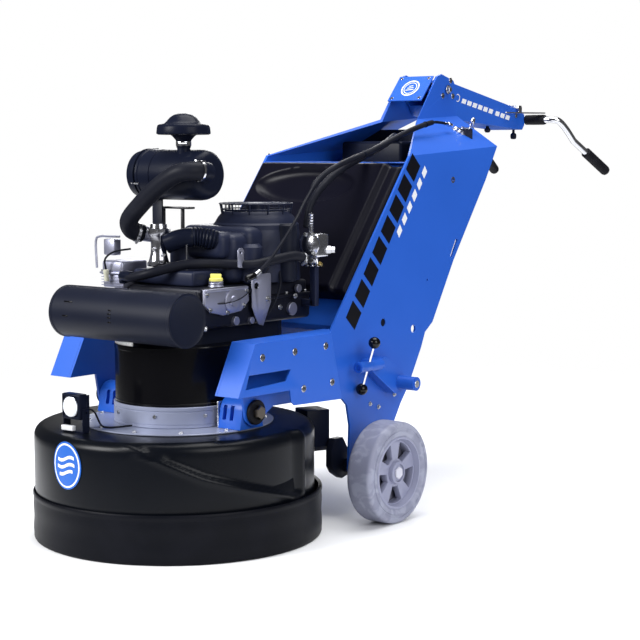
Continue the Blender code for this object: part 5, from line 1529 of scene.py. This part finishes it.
def build_wheels():
    for side, word in SIDES:
        to_x = Matrix.Translation((0.0, *WHEEL_AXLE)) @ TO_X
        low, high = 0.381, 0.471
        profile = [
            (0.1124, low + 0.004), (0.118, low + 0.001), (0.13, low), (0.149, low + 0.0015),
            (0.1545, low + 0.005), (0.1568, low + 0.011), (0.157, low + 0.018),
            (0.157, high - 0.018), (0.1568, high - 0.011), (0.1545, high - 0.005),
            (0.149, high - 0.0015), (0.144, high), (0.1395, high - 0.0004),
            (0.1385, high - 0.0026), (0.129, high - 0.0026), (0.128, high - 0.0006),
            (0.118, high - 0.001), (0.1124, high - 0.004)]
        tyre = moved(lathe(profile, 128, True), to_x)
        rim = [
            (0.098, low + 0.012), (0.1123, low + 0.01), (0.1123, high - 0.0035),
            (0.1085, high - 0.0008), (0.105, high - 0.001), (0.103, high - 0.01),
            (0.099, high - 0.018), (0.098, high - 0.04)]
        rim_shape = moved(lathe(rim, 96, True), to_x)
        web = build_spokes(high)
        # The disc behind the windows; its dark grey is painted shade seen through them.
        back = moved(
            lathe([(0.018, high - 0.058), (0.0985, high - 0.058), (0.0985, high - 0.052),
            (0.018, high - 0.052)], 64, True), to_x)
        cap = [
            (0.0126, low + 0.01), (0.034, low + 0.01), (0.035, high - 0.012),
            (0.033, high - 0.005), (0.029, high - 0.003), (0.0275, high - 0.003),
            (0.0262, high - 0.009), (0.0126, high - 0.009)]
        hub = moved(lathe(cap, 64, True), to_x)
        nut = turned(
            [(0.0, 0.0), (0.019, 0.0), (0.019, 0.007), (0.0165, 0.009), (0.0, 0.0093)],
            (high - 0.0095, *WHEEL_AXLE), (1.0, *WHEEL_AXLE), 6)
        washer = turned(
            [(0.0, 0.0), (0.024, 0.0), (0.024, 0.0018), (0.0, 0.0018)],
            (high - 0.0092, *WHEEL_AXLE), (1.0, *WHEEL_AXLE), 40)
        if side < 0.0:
            for part in (tyre, rim_shape, web, back, hub, nut, washer):
                mirrored(part)
        put("tyre_" + word + "_rubber", tyre, TYRE_GREY, "wheel_" + word, "tyre_" + word, 40.0)
        put(
            "wheel_rim_" + word, joined(rim_shape, web, hub), HUB_GREY, "wheel_" + word,
            "wheel_hub_" + word, 35.0)
        # The backing disc, in the painted-shade grey.
        put("wheel_web_painted_shade_" + word, back, HUB_SHADE, "wheel_" + word)
        put("wheel_cap_" + word, nut, HUB_LIGHT, "wheel_" + word, sharp=25.0)
        put("wheel_cap_ring_" + word, washer, HUB_GREY, "wheel_" + word)


def build_spokes(high):
    """A web with five windows."""
    holes = [ring(0.018, 40, WHEEL_AXLE)]
    for index in range(5):
        heading = 90.0 + 72.0 * (index + 0.5)
        window = arc(WHEEL_AXLE, 0.095, heading - 21.0, heading + 21.0, 10)
        window += arc(WHEEL_AXLE, 0.044, heading + 17.0, heading - 17.0, 5)
        holes.append(window)
    return side_plate(ring(0.1, 96, WHEEL_AXLE), high - 0.04, high - 0.018, holes, 0.0018, 2)


def build_axles():
    for side, word in SIDES:
        arm = [
            (0.403, 0.215), (0.42, 0.25), (0.46, 0.25), (0.5, 0.19), (0.49, 0.128), (0.455, 0.12),
            (0.418, 0.142), (0.403, 0.165)]
        shape = side_plate(arm, 0.2455, 0.27, [ring(0.0206, 32, WHEEL_AXLE)], 0.002)
        if side < 0.0:
            mirrored(shape)
        put("axle_gusset_" + word, shape, MUFFLER_BLACK, "frame")


# ---------------------------------------------------------------- handle

BAR_SIDE = [
    (0.15, 1.866, 1.2535), (0.178, 1.87, 1.2535), (0.2, 1.886, 1.248), (0.212, 1.918, 1.22),
    (0.222, 1.962, 1.174)]
BAR_END = Vector((0.254, 2.165, 1.056))


def build_handle():
    refined("handle_arm", 0.0015)
    last = Vector(BAR_SIDE[-1])
    heading = (BAR_END - last).normalized()
    side = smooth_route([Vector(BAR_SIDE[0]), *BAR_SIDE[1:]], 5)
    side.append(BAR_END - heading * 0.01)
    put(
        "handlebar_tube", pipe([Vector((-place.x, place.y, place.z)) for place in reversed(side)]
        + side, 0.0124, 28), CHROME, "handle", "handlebar", 60.0)
    sleeve = [Vector((x, 1.866, 1.2535)) for x in (0.0705, 0.1, 0.13, 0.145, 0.152)]
    for flip, word in SIDES:
        run = [Vector((flip * place.x, place.y, place.z)) for place in sleeve]
        put(
            "bar_sleeve_" + word, pipe(run, [0.0185, 0.019, 0.019, 0.019, 0.0175], 28),
            GRIP_RUBBER, "handle", sharp=60.0)
        tip = Vector((flip * BAR_END.x, BAR_END.y, BAR_END.z))
        along = Vector((flip * heading.x, heading.y, heading.z))
        start = tip - along * 0.15
        profile = [(0.0126, 0.0), (0.018, 0.0), (0.0195, 0.0015), (0.0195, 0.005)]
        for index in range(16):
            base = 0.008 + index * 0.008
            profile += [
                (0.0186, base), (0.0186, base + 0.0018), (0.0193, base + 0.003),
                (0.0193, base + 0.0066)]
        profile += [(0.019, 0.14), (0.017, 0.1465), (0.011, 0.15), (0.0, 0.151)]
        put(
            "grip_" + word + "_rubber", turned(profile, start, tip, 32), GRIP_RUBBER, "handle",
            "grip_" + word, 50.0)
    build_arm_stripes()
    for index, (x, y, z) in enumerate(((0.0715, 1.79, 1.268), (0.0715, 1.3, 1.3))):
        washer_bolt(
            f"arm_bolt_{index}", (x, y, z), (1, 0, 0), 0.008, 0.0052, "handle", ZINC, IRON, False)
    for side, word in SIDES:
        washer_bolt(
            "handle_pivot_" + word, (side * 0.0846, 1.31, 1.352), (side, 0, 0), 0.015, 0.0105,
            "handle")


def build_arm_stripes():
    """A plain ring and a row of dashes on each side of the handle's box."""
    for side, word in SIDES:
        pieces = [
            side_plate(ring(0.014, 32, (1.392, 1.325)), 0.0701, 0.0707,
            [ring(0.011, 32, (1.392, 1.325))])]
        for index in range(9):
            y = 1.42 + 0.036 * index + (0.01 if index > 5 else 0.0)
            z = 1.321 - 0.178 * (y - 1.392)
            low, high = Vector((y, z)), Vector((y + 0.026, z - 0.0046))
            pieces.append(side_plate(slanted(low, high, 0.0085), 0.0701, 0.0707))
        shape = joined(*pieces)
        if side < 0.0:
            mirrored(shape)
        put("arm_dashes_" + word, shape, BADGE_WHITE, "handle")


def build_hand_controls():
    at = Vector((0.03, 1.8, 1.303))
    strap = plate(
        [(0.022, 1.792), (0.084, 1.786), (0.084, 1.808), (0.024, 1.81)], 1.303, 1.3062, (), 0.0008)
    drop = block((0.08, 1.786, 1.279), (0.084, 1.808, 1.305), 0.001)
    blade = plate(
        [(0.079, 1.7), (0.083, 1.694), (0.088, 1.7), (0.1, 1.76), (0.15, 1.846), (0.15, 1.872),
        (0.134, 1.872), (0.09, 1.81), (0.079, 1.81)], 1.2764, 1.2808, (), 0.001)
    put(
        "hand_lever_blade", joined(blade, strap, drop, rod(at - up(0.0048), at + up(0.006),
        0.0072, 20)), FITTING_ALLOY, "hand_lever", "hand_lever", 30.0)
    bolt = Vector((0.055, 1.842, 1.2905))
    put(
        "lever_stop", rod(bolt - up(0.012), bolt + up(0.014), 0.0085, 20, 0.003), PLASTIC_BLACK,
        "handle")
    knob = Vector((0.045, 1.815, 1.2166))
    profile = [
        (0.0, 0.0), (0.005, 0.0), (0.005, 0.012), (0.0095, 0.015), (0.0115, 0.019),
        (0.0115, 0.029), (0.0095, 0.0345), (0.005, 0.036), (0.0, 0.0362)]
    put(
        "lock_knob_moulding", turned(profile, knob, knob - up(1.0), 32), PLASTIC_BLACK,
        "lock_knob", "lock_knob")
    at = Vector((0.03, 1.655, 1.228))
    put(
        "stay_knob", turned([(0.0, 0.0), (0.006, 0.0), (0.006, 0.006), (0.011, 0.009),
        (0.012, 0.016), (0.008, 0.023), (0.0, 0.024)], at, at - up(1.0), 32), PLASTIC_BLACK,
        "handle")


# ---------------------------------------------------------------- stage

def build_stage():
    floor = bmesh.new()
    bmesh.ops.create_grid(floor, x_segments=1, y_segments=1, size=30.0)
    look = Look("white_floor")
    away = look.node("ShaderNodeVectorMath", {"operation": "LENGTH"}, {0: look.place}, "Value")
    far = look.node(
        "ShaderNodeMapRange", {"interpolation_type": "SMOOTHSTEP"},
        {"Value": away, "From Min": 1.3, "From Max": 3.2})
    look.set("Base Color", (0.88, 0.88, 0.88))
    look.set("Alpha", 1.0 + far * -1.0)
    look.set("Roughness", 0.9)
    look.set("Specular IOR Level", 0.0)
    mesh = as_mesh("studio_floor", floor)
    mesh.materials.append(look.material)
    placed(bpy.data.objects.new("studio_floor", mesh))


LIGHT_TARGET = up(0.6)


def add_light(name, place, size, power):
    """A square area light turned towards the middle of the machine."""
    data = bpy.data.lights.new(name, "AREA")
    data.shape = "SQUARE"
    data.size = size
    data.energy = power
    lamp = placed(bpy.data.objects.new(name, data))
    lamp.location = place
    lamp.rotation_euler = (LIGHT_TARGET - Vector(place)).to_track_quat("-Z", "Y").to_euler()


def build_lights():
    """A white world that lights softly and reflects dimly, and four area lights."""
    sky = bpy.data.worlds.new("white_studio")
    sky.use_nodes = True
    tree = sky.node_tree
    rays = tree.nodes.new("ShaderNodeLightPath")

    def glow(strength, colour, node=None):
        node = node or tree.nodes.new("ShaderNodeBackground")
        node.inputs["Color"].default_value = colour
        node.inputs["Strength"].default_value = strength
        return node

    def mixed(ray, without, within):
        node = tree.nodes.new("ShaderNodeMixShader")
        for index, socket in enumerate((rays.outputs[ray], without.outputs[0], within.outputs[0])):
            tree.links.new(socket, node.inputs[index])
        return node

    lighting = glow(0.42, (0.86, 0.9, 1.0, 1.0), tree.nodes["Background"])
    reflected = tree.nodes.new("ShaderNodeBackground")
    reflected.inputs["Strength"].default_value = 0.1
    seen = glow(1.0, (1.0, 1.0, 1.0, 1.0))
    whole = mixed("Is Camera Ray", mixed("Is Glossy Ray", lighting, reflected), seen)
    tree.links.new(whole.outputs[0], tree.nodes["World Output"].inputs[0])
    bpy.context.scene.world = sky
    add_light("key_front_left", (-2.0, -5.4, 3.2), 2.6, 400.0)
    add_light("fill_right", (4.8, -1.8, 2.6), 3.0, 125.0)
    add_light("top_soft", (0.3, 0.4, 5.2), 4.0, 270.0)
    add_light("rim_back", (-3.5, 4.0, 2.8), 2.4, 110.0)


CAMERA_PLACE = (3.29254, -3.49175, 1.14026)
CAMERA_TURN = 38.2426
CAMERA_PITCH = 6.00745
CAMERA_LENS = 90.93


def build_camera():
    data = bpy.data.cameras.new("studio_camera")
    data.sensor_width = 36.0
    data.lens = CAMERA_LENS
    data.clip_end = 100.0
    camera = placed(bpy.data.objects.new("studio_camera", data))
    camera.location = world(CAMERA_PLACE)
    camera.rotation_euler = (math.radians(90.0 - CAMERA_PITCH), 0.0, math.radians(CAMERA_TURN))
    bpy.context.scene.camera = camera
    bpy.context.scene.view_settings.view_transform = "Standard"


def paint_hidden_nodes():
    """Finishes for the frame's pieces that are kept as they are."""
    kept = {
        "rotor_plate": IRON, "drive_belt": GRIP_RUBBER, "belt_case": MUFFLER_BLACK,
        "work_light_bracket": PLASTIC_BLACK, "stub_axle_near": MUFFLER_BLACK,
        "stub_axle_far": MUFFLER_BLACK}
    for name in (
            "output_shaft", "crank_pulley", "grinding_head_a", "grinding_head_b",
            "grinding_head_c"):
        kept[name] = ZINC
    for name, look in kept.items():
        frame["nodes"][name].data.materials[0] = look


def main():
    for build in (
            build_camera, build_lights, build_stage, paint_hidden_nodes, build_cover, build_skirt,
            build_badge, build_deck, build_flange, build_drum, build_lugs, build_work_light,
            build_dust_port, build_muffler, build_air_cleaner, build_rain_cap, build_hoses):
        build()
    build_cylinder("front", -0.05, True)
    build_cylinder("rear", 0.3, False)
    for build in (
            build_crankcase, build_oil_filler, build_blower, build_mixer, build_regulator,
            build_engine_trim, build_panels, build_rear_cover, build_graphics, build_shield,
            build_gas_bottle, build_clamp, build_cables, build_throttle, build_wheels,
            build_axles, build_handle, build_hand_controls):
        build()


main()
